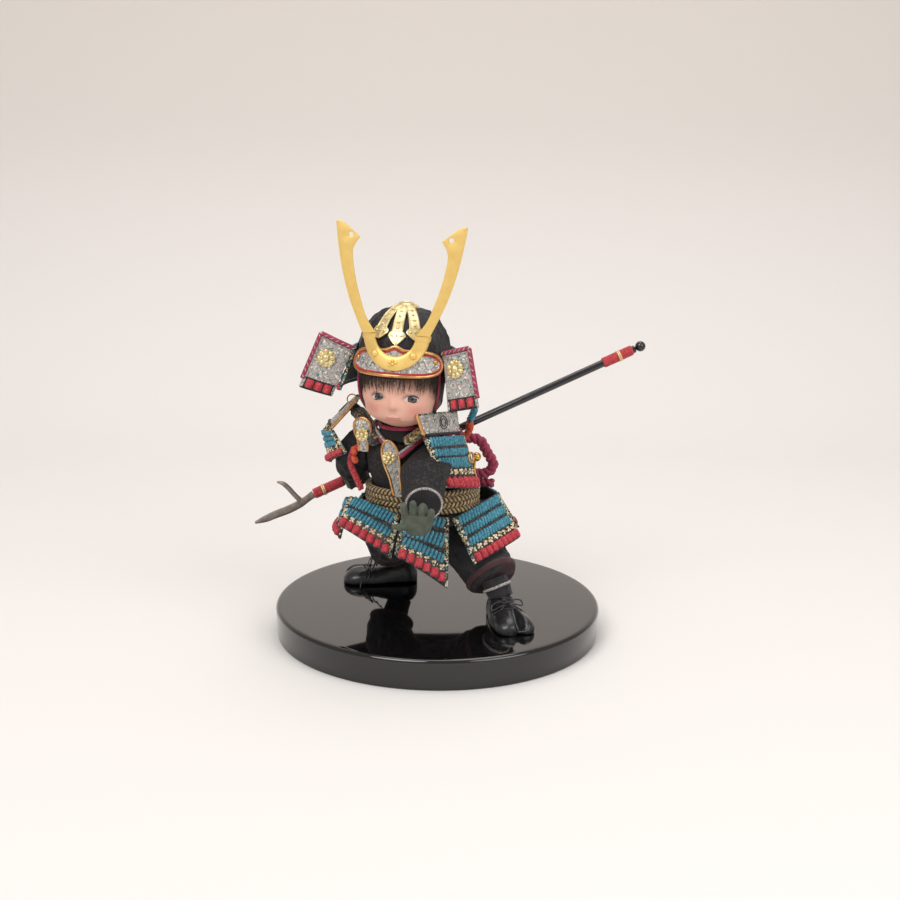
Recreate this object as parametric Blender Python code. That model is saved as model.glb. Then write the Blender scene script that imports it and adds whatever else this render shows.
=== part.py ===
"""Samurai doll on a round lacquered stand, standing in a low lunge with a forked spear.

Metres, +Z up. The origin is the centre of the stand's underside. +X is the doll's left, -Y is its front.
Scalar sizes are in metres. Places are written in millimetres through pt(), with z above the stand's top.
"""
import math

import bmesh
import bpy
from mathutils import Matrix, Vector

# Stand
STAND_R = 0.120
STAND_T = 0.0223
STAND_EDGE_R = 0.0028
STAND_UNDERCUT = 0.001
STAND_SEGMENTS = 48

# Clearances and common walls
GAP = 0.0003
CUT_MARGIN = 0.002

# Head and helmet, in the head's own frame
HEAD_RX = 0.027
FACE_WIDTH_DRAWN = 0.027
HEAD_RY = 0.0275
HEAD_TURN = math.radians(11.0)
HEAD_TILT = math.radians(2.0)
NECK_R = 0.0095
HAIR_T = 0.0026
BOWL_RX = 0.0325
BOWL_RY = 0.033
BOWL_RZ = 0.0347
BOWL_WALL = 0.002
BOWL_RIB_H = 0.0008
BOWL_SEGMENTS = 24
FINIAL_R = 0.0090
FINIAL_H = 0.0028
RIDGE_PLATE_W = 0.0074
RIDGE_PLATES = ((-0.50, 25.5), (0.0, 20.2), (0.50, 25.5))
RIDGE_PLATE_T = 0.0009
VISOR_T = 0.0022
VISOR_H = 0.0190
VISOR_SPREAD = math.radians(58.0)
VISOR_FLARE = 0.0050
VISOR_RIM_R = 0.0011
CREST_T = 0.0024
CREST_W = 0.0092
CREST_LIP_W = CREST_W * 1.14
CREST_LIP_T = CREST_T * 1.3
HORN_T = 0.0016
HORN_HOLE_R = 0.0017
NECK_GUARD_T = 0.0022
NECK_GUARD_H = 0.032
NECK_GUARD_FLARE = 0.0105
WING_T = 0.0022
WING_BLOCK_H = 0.0016
BOSS_R = 0.0068
BOSS_H = 0.0026
CHIN_CORD_R = 0.0011

# Torso and belt
WAIST_RX = 0.037
WAIST_RY = 0.027
CUIRASS_WALL = 0.002
BELT_T = 0.0040
BELT_H = 0.0175
BELT_STRANDS = 4
COLLAR_R = 0.0022
INNER_COLLAR_R = 0.0034
STRAP_R = 0.0040
CAP_TIE_R = 0.0018
BOW_R = 0.0035
TOGGLE_R = 0.0022
TOGGLE_L = 0.0065
SIDE_CORD_R = 0.0021
NECK_CORD_R = 0.0027

# Laced plates
PLATE_T = 0.0020
LACE_H = 0.0013
CAP_T = 0.0020
SKIRT_T = 0.0020

# Limbs
LEG_SIDES = 12
CUFF_R = 0.0125
ANKLE_R = 0.0098
BAND_R = 0.0007
FOOT_L = 0.0565
FOOT_W = 0.0290
FOOT_H = 0.0190
TOE_SPLIT_W = 0.0008
PALM_W = 0.0225
PALM_L = 0.0150
PALM_T = 0.0078
WRIST_R = 0.0046
WRIST_SUNK = 0.004
FINGER_L = 0.0135
FINGER_R = 0.0028
FINGER_REACH = (0.86, 1.0, 0.88, 0.58)
FIST_L = 0.0190

# Spear
SHAFT_R = 0.0029
WRAP_R = 0.0040
SPEAR_BAND_R = 0.0043
SPEAR_BAND_W = 0.0020
BALL_R = 0.0040
BLADE_W = 0.0056
BLADE_T = 0.0022

LACQUER = ("0b0a0b", 0.06, 0.0)
GOLD = ("d9b45f", 0.32, 0.9)
SILVER = ("b9b4ad", 0.35, 0.7)
BROCADE = ("a9a39c", 0.7, 0.1)
TEAL = ("3a8698", 0.75, 0.0)
RED = ("c23a42", 0.75, 0.0)
CRIMSON = ("8c2238", 0.8, 0.0)
BLACK_CLOTH = ("1b191b", 0.85, 0.0)
BLACK_LEATHER = ("17161a", 0.35, 0.0)
SKIN = ("d9a693", 0.55, 0.0)
HAIR = ("2a1f1d", 0.6, 0.0)
ROPE = ("8a7450", 0.8, 0.0)
GLOVE = ("50564b", 0.8, 0.0)
STEEL = ("6c6660", 0.4, 0.7)
ORANGE = ("d96a2a", 0.6, 0.0)

slabs = {}


def pt(x, y, z):
    """A place in millimetres, its height counted from the stand's top."""
    return Vector((x * 0.001, y * 0.001, z * 0.001 + STAND_T))


def mm(*values):
    """An offset in millimetres."""
    return Vector(values) * 0.001


HEAD = pt(-26.7, -30.0, 169.7)
BOWL = mm(0.0, 7.0, 20.0)
WAIST = pt(-11.5, 0.5, 83.0)
SPEAR_FRONT = pt(-93.1, 24.0, 74.8)
SPEAR_BUTT = pt(153.3, 60.0, 182.7)

HEAD_RINGS = ((-46.0, 0.0, 14.5, None), (-31.5, 0.0, 13.0, None), (-29.0, 0.30, 0.0, 0.48),
              (-26.8, 0.48, 0.0, 0.66), (-23.2, 0.67, 0.0, 0.80), (-18.4, 0.83, 0.0, 0.91),
              (-12.5, 0.94, 0.0, 0.975), (-7.5, 1.0, 0.0, 1.0), (-2.5, 1.0, 0.0, 0.99),
              (4.0, 0.985, 0.0, 1.0), (14.0, 0.86, 0.0, 0.92), (24.0, 0.54, 0.0, 0.60))
CHIN_CORD_PATH = ((-28.4, -9.5, 14.0), (-28.6, -10.0, 2.0), (-27.2, -8.5, -8.5), (-22.8, -3.0, -18.5),
                  (-16.0, 3.0, -26.2), (-9.0, 5.0, -31.0), (0.0, 3.5, -32.6))
RIM_DROP = 0.0025
BOWL_LEVELS = tuple(math.radians(a) for a in (6, 30, 52, 72))
VISOR_LOW = 0.0105
VISOR_TOP = VISOR_LOW + VISOR_H
CREST_HALF = 0.0185
CREST_TOP = 0.0395
CREST_DROP = 0.0188
HORN_OUTER = ((23.6, 40.0), (28.2, 50.0), (33.0, 61.0), (37.2, 73.5), (40.9, 88.0), (43.9, 105.0),
              (45.0, 114.0))
HORN_TOP = ((39.5, 112.6), (35.0, 109.2), (32.5, 107.3), (28.0, 103.4))
HORN_INNER = ((31.1, 99.0), (32.6, 94.0), (31.9, 86.0), (29.1, 73.0), (24.6, 59.0), (20.8, 49.5),
              (14.2, 40.0))
HORN_EYE = (0.0343, 0.1048)
GUARD_TOP = 0.0262
GUARD_STARTS = {-1: math.radians(70), 1: math.radians(60)}
WING_ROOT_Z = {-1: 24.5, 1: 26.5}
WING_ROOT_SHIFT = {-1: (0.0, 0.0, 0.0), 1: (0.0, -0.9, 0.0)}
WING_REACH = {  # from the root's top to the outer top, the outer foot and the root's foot
    -1: ((-21.8, -4.5, 9.7), (-36.3, -7.9, -28.7), (-13.6, -2.1, -35.0)),
    1: ((18.3, -4.7, 6.0), (28.4, -12.6, -33.0), (6.7, -8.6, -39.0)),
}
WING_BOSS_AT = {-1: (0.40, 0.36), 1: (0.42, 0.30)}

UPPER_TORSO = ((100, -17.5, -3.5, 33.0, 25.2), (110, -22.5, -6.5, 30.5, 24.5),
               (120, -25.5, -8.5, 29.0, 23.0), (127, -26.5, -9.5, 26.5, 20.5))
SKIRT_Z = 68.5
SKIRT_INNER_Z = 72.5

# Plate corners run top-left, top-right, bottom-right, bottom-left, seen from outside
TASSETS = {
    "tasset_front_right": (pt(-62.7, -12, 82.8), pt(-28.5, -34, 76.0),
                           pt(-34.5, -50, 49.2), pt(-72.1, -28, 67.1)),
    "tasset_front": (pt(-25.0, -36, 77.0), pt(6.0, -32, 73.3), pt(5.4, -56, 29.6), pt(-30.0, -54, 52.0)),
    "tasset_left": (pt(10.2, -29.5, 72.0), pt(43.4, 8, 80.8), pt(59.9, 0, 49.4), pt(26.2, -42, 42.2)),
    "tasset_back_left": (pt(43.0, 13, 79.0), pt(20.0, 38, 79.0), pt(28.0, 56, 50.0), pt(60.0, 22, 50.0)),
    "tasset_back": (pt(16.0, 41, 79.0), pt(-25.0, 43, 79.0), pt(-28.0, 60, 50.0), pt(23.0, 60, 50.0)),
    "tasset_back_right": (pt(-29.0, 42, 78.0), pt(-57.0, 24, 73.0),
                          pt(-70.0, 36, 52.0), pt(-33.0, 59, 50.0)),
    "tasset_right": (pt(-62.0, 16, 74.0), pt(-64.6, -7, 79.5), pt(-71.8, -8, 50.0), pt(-73.0, 26, 51.0)),
}
TASSET_ROWS = ((0.03, 0.27), (0.34, 0.56), (0.62, 0.76), (0.80, 0.99))
TASSET_RIBS = {"tasset_front_right": 5, "tasset_front": 5, "tasset_left": 5, "tasset_back_left": 4,
               "tasset_back": 4, "tasset_back_right": 4, "tasset_right": 3}
CAPS = {
    "left_shoulder_cap": (pt(-16.0, -54, 153.2), pt(12.1, -12, 146.3),
                          pt(14.3, -15, 131.7), pt(-11.2, -53, 138.6)),
    "right_shoulder_cap": (pt(-57.0, 22, 150.0), pt(-58.9, -8, 153.0),
                           pt(-77.0, -9, 133.0), pt(-78.0, 24, 130.0)),
}
GUARDS = {
    "left_shoulder_guard": (pt(-10.9, -54.0, 137.6), pt(16.2, -15.0, 130.4),
                            pt(28.7, -10, 89.5), pt(4.5, -42, 98.8)),
    "right_shoulder_guard": (pt(-84.0, 21.0, 126.0), pt(-76.0, -9.5, 131.4),
                             pt(-66.0, -24, 119.0), pt(-78.7, 6, 104.8)),
}
CUFF_AT = pt(-10.5, -67, 94)
CUFF_AXIS = mm(0.5, -10.0, -2.5)
TOGGLES = ((pt(-61.5, -19.5, 122.5), Vector((0.3, 0, -1))), (pt(-61.5, -16.8, 115.5), Vector((0.4, 0, -1))))
GUARD_ROWS = ((0.02, 0.20), (0.26, 0.42), (0.47, 0.62), (0.65, 0.76), (0.80, 0.99))
GUARD_RIBS = 4
PLATE_BULGE = 0.003

# Shares of the shaft, in metres behind the front end of its wrap
FRONT_WRAP = (0.0, 0.0245)
FRONT_BAND = 0.0072
BUTT_WRAP = (0.2395, 0.2640)
BUTT_BAND = 0.2520
SHAFT_END = 0.2665


# Materials and mesh helpers

def srgb(code):
    """Linear colour of a hex code."""
    parts = [int(code[k:k + 2], 16) / 255 for k in (0, 2, 4)]
    return [c / 12.92 if c <= 0.04045 else ((c + 0.055) / 1.055) ** 2.4 for c in parts] + [1.0]


def material(name, look):
    """A Principled material with the look's colour, roughness and metallic value."""
    code, roughness, metallic = look
    mat = bpy.data.materials.new(name)
    mat.use_nodes = True
    shader = mat.node_tree.nodes["Principled BSDF"]
    shader.inputs["Base Color"].default_value = srgb(code)
    shader.inputs["Roughness"].default_value = roughness
    shader.inputs["Metallic"].default_value = metallic
    return mat


def solid(name, verts, faces, look):
    """A closed solid from vertices and faces, with its faces turned outwards."""
    mesh = bpy.data.meshes.new(name)
    mesh.from_pydata([tuple(v) for v in verts], [], faces)
    shape = bmesh.new()
    shape.from_mesh(mesh)
    bmesh.ops.recalc_face_normals(shape, faces=shape.faces)
    shape.to_mesh(mesh)
    shape.free()
    mesh.set_sharp_from_angle(angle=math.radians(40))
    obj = bpy.data.objects.new(name, mesh)
    obj.data.materials.append(material(name, look))
    bpy.context.scene.collection.objects.link(obj)
    return obj


def drop(obj):
    """Remove a helper object."""
    bpy.data.objects.remove(obj, do_unlink=True)


def ring(centre, side, up, count, power=2.0):
    """Points of a superellipse about centre, spanned by the half-axes side and up."""
    points = []
    for k in range(count):
        angle = 2 * math.pi * k / count
        c, s = math.cos(angle), math.sin(angle)
        cx = math.copysign(abs(c) ** (2 / power), c)
        sy = math.copysign(abs(s) ** (2 / power), s)
        points.append(centre + side * cx + up * sy)
    return points


def middle(points):
    """Mean of some points."""
    return sum(points, Vector()) / len(points)


def skin(name, loops, look, closed=False, tips=None):
    """A solid skinned over loops of equal length; open ends are fanned to their tips."""
    count = len(loops[0])
    verts = [p for loop in loops for p in loop]
    faces = []
    spans = len(loops) if closed else len(loops) - 1
    for row in range(spans):
        a, b = row * count, ((row + 1) % len(loops)) * count
        for k in range(count):
            m = (k + 1) % count
            faces.append((a + k, a + m, b + m, b + k))
    if not closed:
        tips = tips or (middle(loops[0]), middle(loops[-1]))
        for tip, start in zip(tips, (0, (len(loops) - 1) * count)):
            verts.append(tip)
            apex = len(verts) - 1
            faces += [(start + k, start + (k + 1) % count, apex) for k in range(count)]
    return solid(name, verts, faces, look)


def frames(points):
    """Tangent, side and up at each point of a path, carried along without twist."""
    tangents = []
    for k, p in enumerate(points):
        before, after = points[max(k - 1, 0)], points[min(k + 1, len(points) - 1)]
        tangents.append((after - before).normalized())
    side = tangents[0].orthogonal().normalized()
    result = []
    for tangent in tangents:
        side = (side - tangent * side.dot(tangent)).normalized()
        result.append((tangent, side, tangent.cross(side)))
    return result


def smooth(points, steps):
    """A Catmull-Rom curve through the points."""
    ends = [points[0] * 2 - points[1]] + list(points) + [points[-1] * 2 - points[-2]]
    curve = []
    for k in range(1, len(ends) - 2):
        p0, p1, p2, p3 = ends[k - 1:k + 3]
        for step in range(steps):
            t = step / steps
            curve.append((p1 * 2 + (p2 - p0) * t + (p0 * 2 - p1 * 5 + p2 * 4 - p3) * t * t
                          + (p1 * 3 - p0 - p2 * 3 + p3) * t ** 3) / 2)
    return curve + [points[-1]]


def rod(name, points, radius, look, sides=8, flat=1.0):
    """A tube along a path; radius may be a number or one number for each point."""
    radii = radius if isinstance(radius, (list, tuple)) else [radius] * len(points)
    loops = []
    for p, r, (_, side, up) in zip(points, radii, frames(points)):
        loops.append(ring(p, side * r, up * r * flat, sides))
    return skin(name, loops, look)


def limb(name, stations, look, sides=16, reference=Vector((0, 1, 0))):
    """A soft limb: each station is a point with its two half-widths across the path."""
    points = [s[0] for s in stations]
    loops = []
    for k, (p, across, deep) in enumerate(stations):
        before, after = points[max(k - 1, 0)], points[min(k + 1, len(points) - 1)]
        tangent = (after - before).normalized()
        side = tangent.cross(reference).normalized()
        loops.append(ring(p, side * across, side.cross(tangent).normalized() * deep, sides))
    return skin(name, loops, look)


def band(name, centre, axis, radius, profile, look, segments=24, stretch=1.0):
    """A ring about an axis: profile points are (outwards, along the axis) from the radius."""
    axis = axis.normalized()
    side = axis.orthogonal().normalized()
    up = axis.cross(side)
    loops = []
    for k in range(segments):
        angle = 2 * math.pi * k / segments
        out = side * math.cos(angle) + up * math.sin(angle) * stretch
        loops.append([centre + out * (radius + o) + axis * a for o, a in profile])
    return skin(name, loops, look, closed=True)


def round_profile(radius, sides=8):
    """A small circle as a band's profile."""
    return [(radius * math.cos(2 * math.pi * k / sides), radius * math.sin(2 * math.pi * k / sides))
            for k in range(sides)]


def turned(name, base, axis, profile, look, segments=16):
    """A turned solid standing on base: profile points are (radius, height)."""
    axis = axis.normalized()
    side = axis.orthogonal().normalized()
    up = axis.cross(side)
    loops = []
    for radius, height in profile:
        loops.append(ring(base + axis * height, side * radius, up * radius, segments))
    return skin(name, loops, look)


# Cutting and joining

def grown(obj, gap):
    """A temporary copy of an object, grown outwards by a gap."""
    source = slabs.get(obj.name, obj)
    copy = bpy.data.objects.new("cutter", source.data.copy())
    bpy.context.scene.collection.objects.link(copy)
    shape = bmesh.new()
    shape.from_mesh(copy.data)
    shape.normal_update()
    moves = [(v, v.normal * gap * min(v.calc_shell_factor(), 2.5)) for v in shape.verts]
    for vert, move in moves:
        vert.co += move
    shape.to_mesh(copy.data)
    shape.free()
    copy.hide_render = True
    copy.display_type = "WIRE"
    return copy


def boolean(obj, other, operation):
    """Apply an exact Boolean to an object's mesh and keep its largest body."""
    mod = obj.modifiers.new("boolean", "BOOLEAN")
    mod.operation = operation
    mod.solver = "EXACT"
    mod.object = other
    graph = bpy.context.evaluated_depsgraph_get()
    mesh = bpy.data.meshes.new_from_object(obj.evaluated_get(graph))
    obj.modifiers.remove(mod)
    mesh.materials.clear()
    mesh.materials.append(obj.data.materials[0])
    obj.data = mesh
    keep_largest(mesh)


def body_volume(faces):
    """Signed volume of a set of faces."""
    total = 0.0
    for face in faces:
        corners = [v.co for v in face.verts]
        for k in range(1, len(corners) - 1):
            total += corners[0].dot(corners[k].cross(corners[k + 1])) / 6
    return total


def keep_largest(mesh):
    """Delete every body of a mesh but the largest, and weld its tiny edges."""
    shape = bmesh.new()
    shape.from_mesh(mesh)
    bmesh.ops.remove_doubles(shape, verts=shape.verts, dist=0.000005)
    bmesh.ops.dissolve_degenerate(shape, edges=shape.edges, dist=0.000005)
    left, bodies = set(shape.faces), []
    while left:
        stack, body = [left.pop()], []
        while stack:
            face = stack.pop()
            body.append(face)
            for edge in face.edges:
                for near in edge.link_faces:
                    if near in left:
                        left.remove(near)
                        stack.append(near)
        bodies.append(body)
    bodies.sort(key=lambda faces: abs(body_volume(faces)))
    for body in bodies[:-1]:
        bmesh.ops.delete(shape, geom=body, context="FACES")
    loose = [v for v in shape.verts if not v.link_faces]
    bmesh.ops.delete(shape, geom=loose, context="VERTS")
    shape.to_mesh(mesh)
    shape.free()


def trim(obj, *neighbours, gap=GAP):
    """Cut an object clear of its neighbours by a gap."""
    for neighbour in neighbours:
        cutter = grown(neighbour, gap)
        boolean(obj, cutter, "DIFFERENCE")
        drop(cutter)


def cut(obj, cutter):
    """Cut an object with a temporary solid."""
    boolean(obj, cutter, "DIFFERENCE")
    drop(cutter)


def fuse(obj, *others):
    """Join temporary solids to an object."""
    for other in others:
        boolean(obj, other, "UNION")
        drop(other)


# Laced plates

def patch(corners, bulge, u, v):
    """A point of a bulged four-cornered patch: u runs left to right, v top to bottom."""
    tl, tr, br, bl = corners
    flat = (tl * (1 - u) + tr * u) * (1 - v) + (bl * (1 - u) + br * u) * v
    return flat + normal(corners) * bulge * (1 - (2 * u - 1) ** 2)


def normal(corners):
    """Outward normal of a patch seen with its top-left corner first."""
    tl, tr, br, bl = corners
    return ((tr - tl) + (br - bl)).cross((tl - bl) + (tr - br)).normalized()


def relief(grid, corners, bulge, thickness, height):
    """Front and back points of a plate over a grid of (u, v), raised by height(u, v)."""
    out = normal(corners)
    front = [[patch(corners, bulge, u, v) + out * (thickness / 2 + height(u, v)) for u in grid[0]]
             for v in grid[1]]
    back = [[patch(corners, bulge, u, v) - out * thickness / 2 for u in grid[0]] for v in grid[1]]
    return front, back


def shell(name, front, back, look):
    """A closed solid between a front and a back grid; the back is taken at its border only."""
    rows, cols = len(front), len(front[0])
    verts = [p for row in front for p in row]
    faces = [(r * cols + c, r * cols + c + 1, (r + 1) * cols + c + 1, (r + 1) * cols + c)
             for r in range(rows - 1) for c in range(cols - 1)]
    border = [(0, c) for c in range(cols)] + [(r, cols - 1) for r in range(1, rows)]
    border += [(rows - 1, c) for c in range(cols - 2, -1, -1)] + [(r, 0) for r in range(rows - 2, 0, -1)]
    base = len(verts)
    verts += [back[r][c] for r, c in border]
    for k, (r, c) in enumerate(border):
        m = (k + 1) % len(border)
        nr, nc = border[m]
        faces.append((r * cols + c, nr * cols + nc, base + m, base + k))
    for c in range(cols - 1):
        top = base + c
        low = base + cols + rows - 2 + (cols - 1 - c)
        if c == 0:
            left = [base + k for k in range(len(border) - 1, cols + rows + cols - 3, -1)]
        else:
            left = []
        if c == cols - 2:
            right = [base + k for k in range(cols, cols + rows - 2)]
        else:
            right = []
        faces.append(tuple([top, top + 1] + right + [low - 1, low] + list(reversed(left))))
    return solid(name, verts, faces, look)


def spread(count):
    """Evenly spaced values from 0 to 1."""
    return [k / (count - 1) for k in range(count)]


def laced_plate(name, corners, bulge, rows, ribs, look):
    """A plate laced in raised rows: each row is (top, bottom) as a share of the height."""
    seams = [(rows[k][1] + rows[k + 1][0]) / 2 for k in range(len(rows) - 1)]
    crowns = [(top + bottom) / 2 for top, bottom in rows]
    levels = sorted([0.0] + seams + crowns + [1.0])
    columns = spread(2 * ribs + 1)

    def height(u, v):
        if u <= 0.0 or u >= 1.0:
            return 0.0
        rib = 0.6 + 0.4 * (round(u * 2 * ribs) % 2)
        return LACE_H * rib if v in crowns else 0.0

    front, back = relief((columns, levels), corners, bulge, PLATE_T, height)
    plate = shell(name, front, back, look)
    slab_front, slab_back = relief((spread(5), [0.0, 1.0]), corners, bulge, PLATE_T,
                                   lambda u, v: LACE_H)
    slab = shell(name + "_slab", slab_front, slab_back, look)
    slab.hide_render = True
    slab.display_type = "WIRE"
    slabs[name] = slab
    return plate


# Stand

def make_stand():
    """The round stand: a turned board with a rounded top edge."""
    steps = 2
    profile = [(STAND_R - STAND_UNDERCUT, 0.0)]
    for k in range(steps + 1):
        angle = math.pi / 2 * k / steps
        profile.append((STAND_R - STAND_EDGE_R * (1 - math.cos(angle)),
                        STAND_T - STAND_EDGE_R * (1 - math.sin(angle))))
    return turned("display_stand", Vector(), Vector((0, 0, 1)), profile, LACQUER, STAND_SEGMENTS)


# Feet and legs

def make_shoe(name, heel, direction, split_side):
    """A split-toed boot: rings along the foot, flat underneath, with a cut between the toes."""
    across = Vector((0, 0, 1)).cross(direction)
    shape = ((0.0, 0.30, 0.45), (0.05, 0.52, 0.72), (0.20, 0.68, 0.98), (0.36, 0.78, 0.88),
             (0.48, 0.88, 0.66), (0.62, 0.96, 0.61), (0.84, 1.0, 0.58), (0.95, 0.86, 0.46),
             (1.0, 0.50, 0.24))
    loops = []
    for along, wide, high in shape:
        base = heel + direction * FOOT_L * along + Vector((0, 0, GAP))
        half, top = across * FOOT_W / 2 * wide, Vector((0, 0, FOOT_H * high))
        loop = []
        for k in range(7):
            angle = math.pi * k / 6
            c, s = math.cos(angle), math.sin(angle)
            loop.append(base + half * math.copysign(abs(c) ** 0.8, c) + top * (0.18 + 0.82 * s ** 0.9))
        loop.append(base - half * 0.94)
        loop.append(base + half * 0.94)
        loops.append(loop)
    shoe = skin(name, loops, BLACK_LEATHER)
    tip = heel + direction * FOOT_L * 1.02 + across * FOOT_W * split_side
    inner = tip - direction * FOOT_L * 0.20
    low, high = Vector((0, 0, -CUT_MARGIN)), Vector((0, 0, FOOT_H))
    wide = across * TOE_SPLIT_W
    wedge = [[tip - wide + lift, tip + wide + lift, inner + lift] for lift in (low, high)]
    cut(shoe, skin("wedge", wedge, BLACK_LEATHER))
    return shoe


def make_lace_bow(name, centre, side, forward):
    """A tied lace on the instep: two loops and two ends, as one cord."""
    up = Vector((0, 0, 1))
    width, rise = 0.0105, 0.0026
    bow = rod(name, [centre - side * width - up * rise, centre - side * width * 0.5 + up * rise * 0.5,
                     centre, centre + side * width * 0.5 + up * rise * 0.5,
                     centre + side * width - up * rise], 0.0011, BLACK_LEATHER, 5)
    tail = rod("tail", [centre - up * rise * 0.2, centre + forward * 0.005 + side * 0.003 - up * rise,
                        centre + forward * 0.009 + side * 0.004 - up * rise * 2.4], 0.0009,
               BLACK_LEATHER, 5)
    fuse(bow, tail)
    return bow


def make_sock(name, top, bottom):
    """The black sock between hem and boot."""
    half = (top + bottom) / 2
    return limb(name, [(top, ANKLE_R, ANKLE_R), (half, ANKLE_R * 0.97, ANKLE_R * 0.97),
                       (bottom, ANKLE_R * 0.9, ANKLE_R * 0.9)], BLACK_CLOTH, 10)


def make_ankle_band(name, centre, axis):
    """The silver cord round the sock."""
    return band(name, centre, axis, ANKLE_R * 0.98, round_profile(BAND_R, 5), SILVER, 14)


def make_trousers():
    """Baggy trousers: hips and two legs as one garment, with banded hems."""
    hips = skin("trousers", [ring(pt(-5, 6, 42), mm(34, 0, 0), mm(0, 22, 0), 14),
                             ring(pt(-6, 5, 52), mm(42, 0, 0), mm(0, 28, 0), 14),
                             ring(pt(-9, 2, 63), mm(39, 0, 0), mm(0, 28, 0), 14),
                             ring(pt(-11, 1, 69.4), mm(35, 0, 0), mm(0, 25, 0), 14)], BLACK_CLOTH)
    left = limb("left_leg", [(pt(10, 4, 50), 0.016, 0.015), (pt(23, -8, 46), 0.0215, 0.020),
                             (pt(30.5, -16, 39), 0.0220, 0.0205), (pt(35.6, -23, 33.0), 0.0205, 0.019),
                             (pt(36.8, -24.6, 31.2), 0.0190, 0.0176), (pt(38.2, -26.4, 29.2), 0.0202, 0.0188),
                             (pt(39.8, -28.6, 27.0), 0.0186, 0.0172)], BLACK_CLOTH, LEG_SIDES)
    right = limb("right_leg", [(pt(-20, 6, 50), 0.016, 0.015), (pt(-32, 14, 46), 0.0195, 0.0185),
                               (pt(-37, 25, 40), 0.0195, 0.019), (pt(-36.6, 32.6, 34.0), 0.0178, 0.0174),
                               (pt(-35.9, 34.8, 31.7), 0.0166, 0.0162),
                               (pt(-35.0, 37.4, 29.2), 0.0174, 0.0170)], BLACK_CLOTH, LEG_SIDES)
    fuse(hips, left, right)
    return hips


# Torso

def torso_ring(z, cx, cy, rx, ry, grow=0.0, count=16):
    """A level ring of the torso."""
    side, up = mm(rx, 0, 0), mm(0, ry, 0)
    side.x += grow
    up.y += grow
    return ring(pt(cx, cy, z), side, up, count)


def waist_ring(z, grow, count=16):
    """A level ring about the waist."""
    centre = Vector((WAIST.x, WAIST.y, STAND_T + z * 0.001))
    return ring(centre, Vector((WAIST_RX + grow, 0, 0)), Vector((0, WAIST_RY + grow, 0)), count)


def make_body():
    """The stuffed body under the armour, up to the neck."""
    loops = [waist_ring(70.0, -CUIRASS_WALL - GAP), waist_ring(93.0, -CUIRASS_WALL - GAP)]
    loops += [torso_ring(*row, grow=-CUIRASS_WALL - GAP) for row in UPPER_TORSO]
    loops.append(torso_ring(131.0, -26.2, -10.5, 19.0, 15.5))
    loops.append(torso_ring(134.5, -25.8, -12.0, 13.5, 12.5))
    return skin("torso_body", loops, BLACK_CLOTH)


def make_cuirass(body):
    """The cuirass: a shell round the body, open at neck and waist."""
    loops = [waist_ring(71.5, 0.0), waist_ring(93.0, 0.0)]
    loops += [torso_ring(*row) for row in UPPER_TORSO]
    cuirass = skin("cuirass", loops, ("2a2629", 0.6, 0.1))
    trim(cuirass, body)
    return cuirass


def make_belt():
    """The rope belt: strands wound side by side round the waist."""
    strand = BELT_H / BELT_STRANDS
    profile = [(0.0, -BELT_H / 2), (0.0, BELT_H / 2)]
    for k in range(BELT_STRANDS):
        top = BELT_H / 2 - strand * k
        profile += [(BELT_T * 0.62, top - strand * 0.04), (BELT_T, top - strand * 0.5)]
    profile.append((BELT_T * 0.62, -BELT_H / 2 + strand * 0.04))
    loops = []
    for k in range(20):
        angle = 2 * math.pi * k / 20
        c, s = math.cos(angle), math.sin(angle)
        loops.append([Vector((WAIST.x + (WAIST_RX + GAP * 2 + o) * c, WAIST.y + (WAIST_RY + GAP * 2 + o) * s,
                              WAIST.z + a)) for o, a in profile])
    return skin("rope_belt", loops, ROPE, closed=True)


def make_tassets():
    """The hanging skirt plates of the armour."""
    return [laced_plate(name, corners, PLATE_BULGE, TASSET_ROWS, TASSET_RIBS[name], TEAL)
            for name, corners in TASSETS.items()]


def under_plate(corners, u, z):
    """A place just inside a hanging plate at a height above the stand's top."""
    top, bottom = patch(corners, PLATE_BULGE, u, 0.0), patch(corners, PLATE_BULGE, u, 1.0)
    v = (top.z - STAND_T - z * 0.001) / (top.z - bottom.z)
    return patch(corners, PLATE_BULGE, u, min(max(v, 0.1), 0.9)) - normal(corners) * (PLATE_T / 2 + GAP)


def make_skirt():
    """The padded cloth flange that carries the skirt plates at the cuirass's lower edge."""
    half = SKIRT_T * 1000 / 2
    loops = []
    for corners in TASSETS.values():
        for u in (0.08, 0.5, 0.92):
            low, high = under_plate(corners, u, SKIRT_Z - half), under_plate(corners, u, SKIRT_Z + half)
            angle = math.atan2((low.y - WAIST.y) / WAIST_RY, (low.x - WAIST.x) / WAIST_RX)
            inner = Vector((WAIST.x + (WAIST_RX + GAP * 4) * math.cos(angle),
                            WAIST.y + (WAIST_RY + GAP * 4) * math.sin(angle), STAND_T))
            level = mm(0, 0, SKIRT_INNER_Z)
            thick = Vector((0, 0, SKIRT_T / 2))
            loops.append([inner + level + thick, high, low, inner + level - thick])
    return skin("skirt_padding", loops, BLACK_CLOTH, closed=True)


# Shoulders and arms

def make_cap(name):
    """The brocade-faced plate at the top of a shoulder guard, with a rolled rim."""
    corners = CAPS[name]

    def height(u, v):
        return 0.0006 if u in (0.0, 1.0) or v == 1.0 else 0.0

    grid = ([0.0, 0.07, 0.3, 0.5, 0.7, 0.93, 1.0], [0.0, 0.12, 0.88, 1.0])
    front, back = relief(grid, corners, PLATE_BULGE, CAP_T, height)
    return shell(name, front, back, BROCADE)


def make_guard(name, cap):
    """A laced shoulder guard hanging from its cap."""
    guard = laced_plate(name, GUARDS[name], PLATE_BULGE, GUARD_ROWS, GUARD_RIBS, TEAL)
    trim(guard, cap)
    return guard


def make_sleeve(name, stations):
    """A padded brocade sleeve."""
    return limb(name, stations, BLACK_CLOTH, 14)


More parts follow.
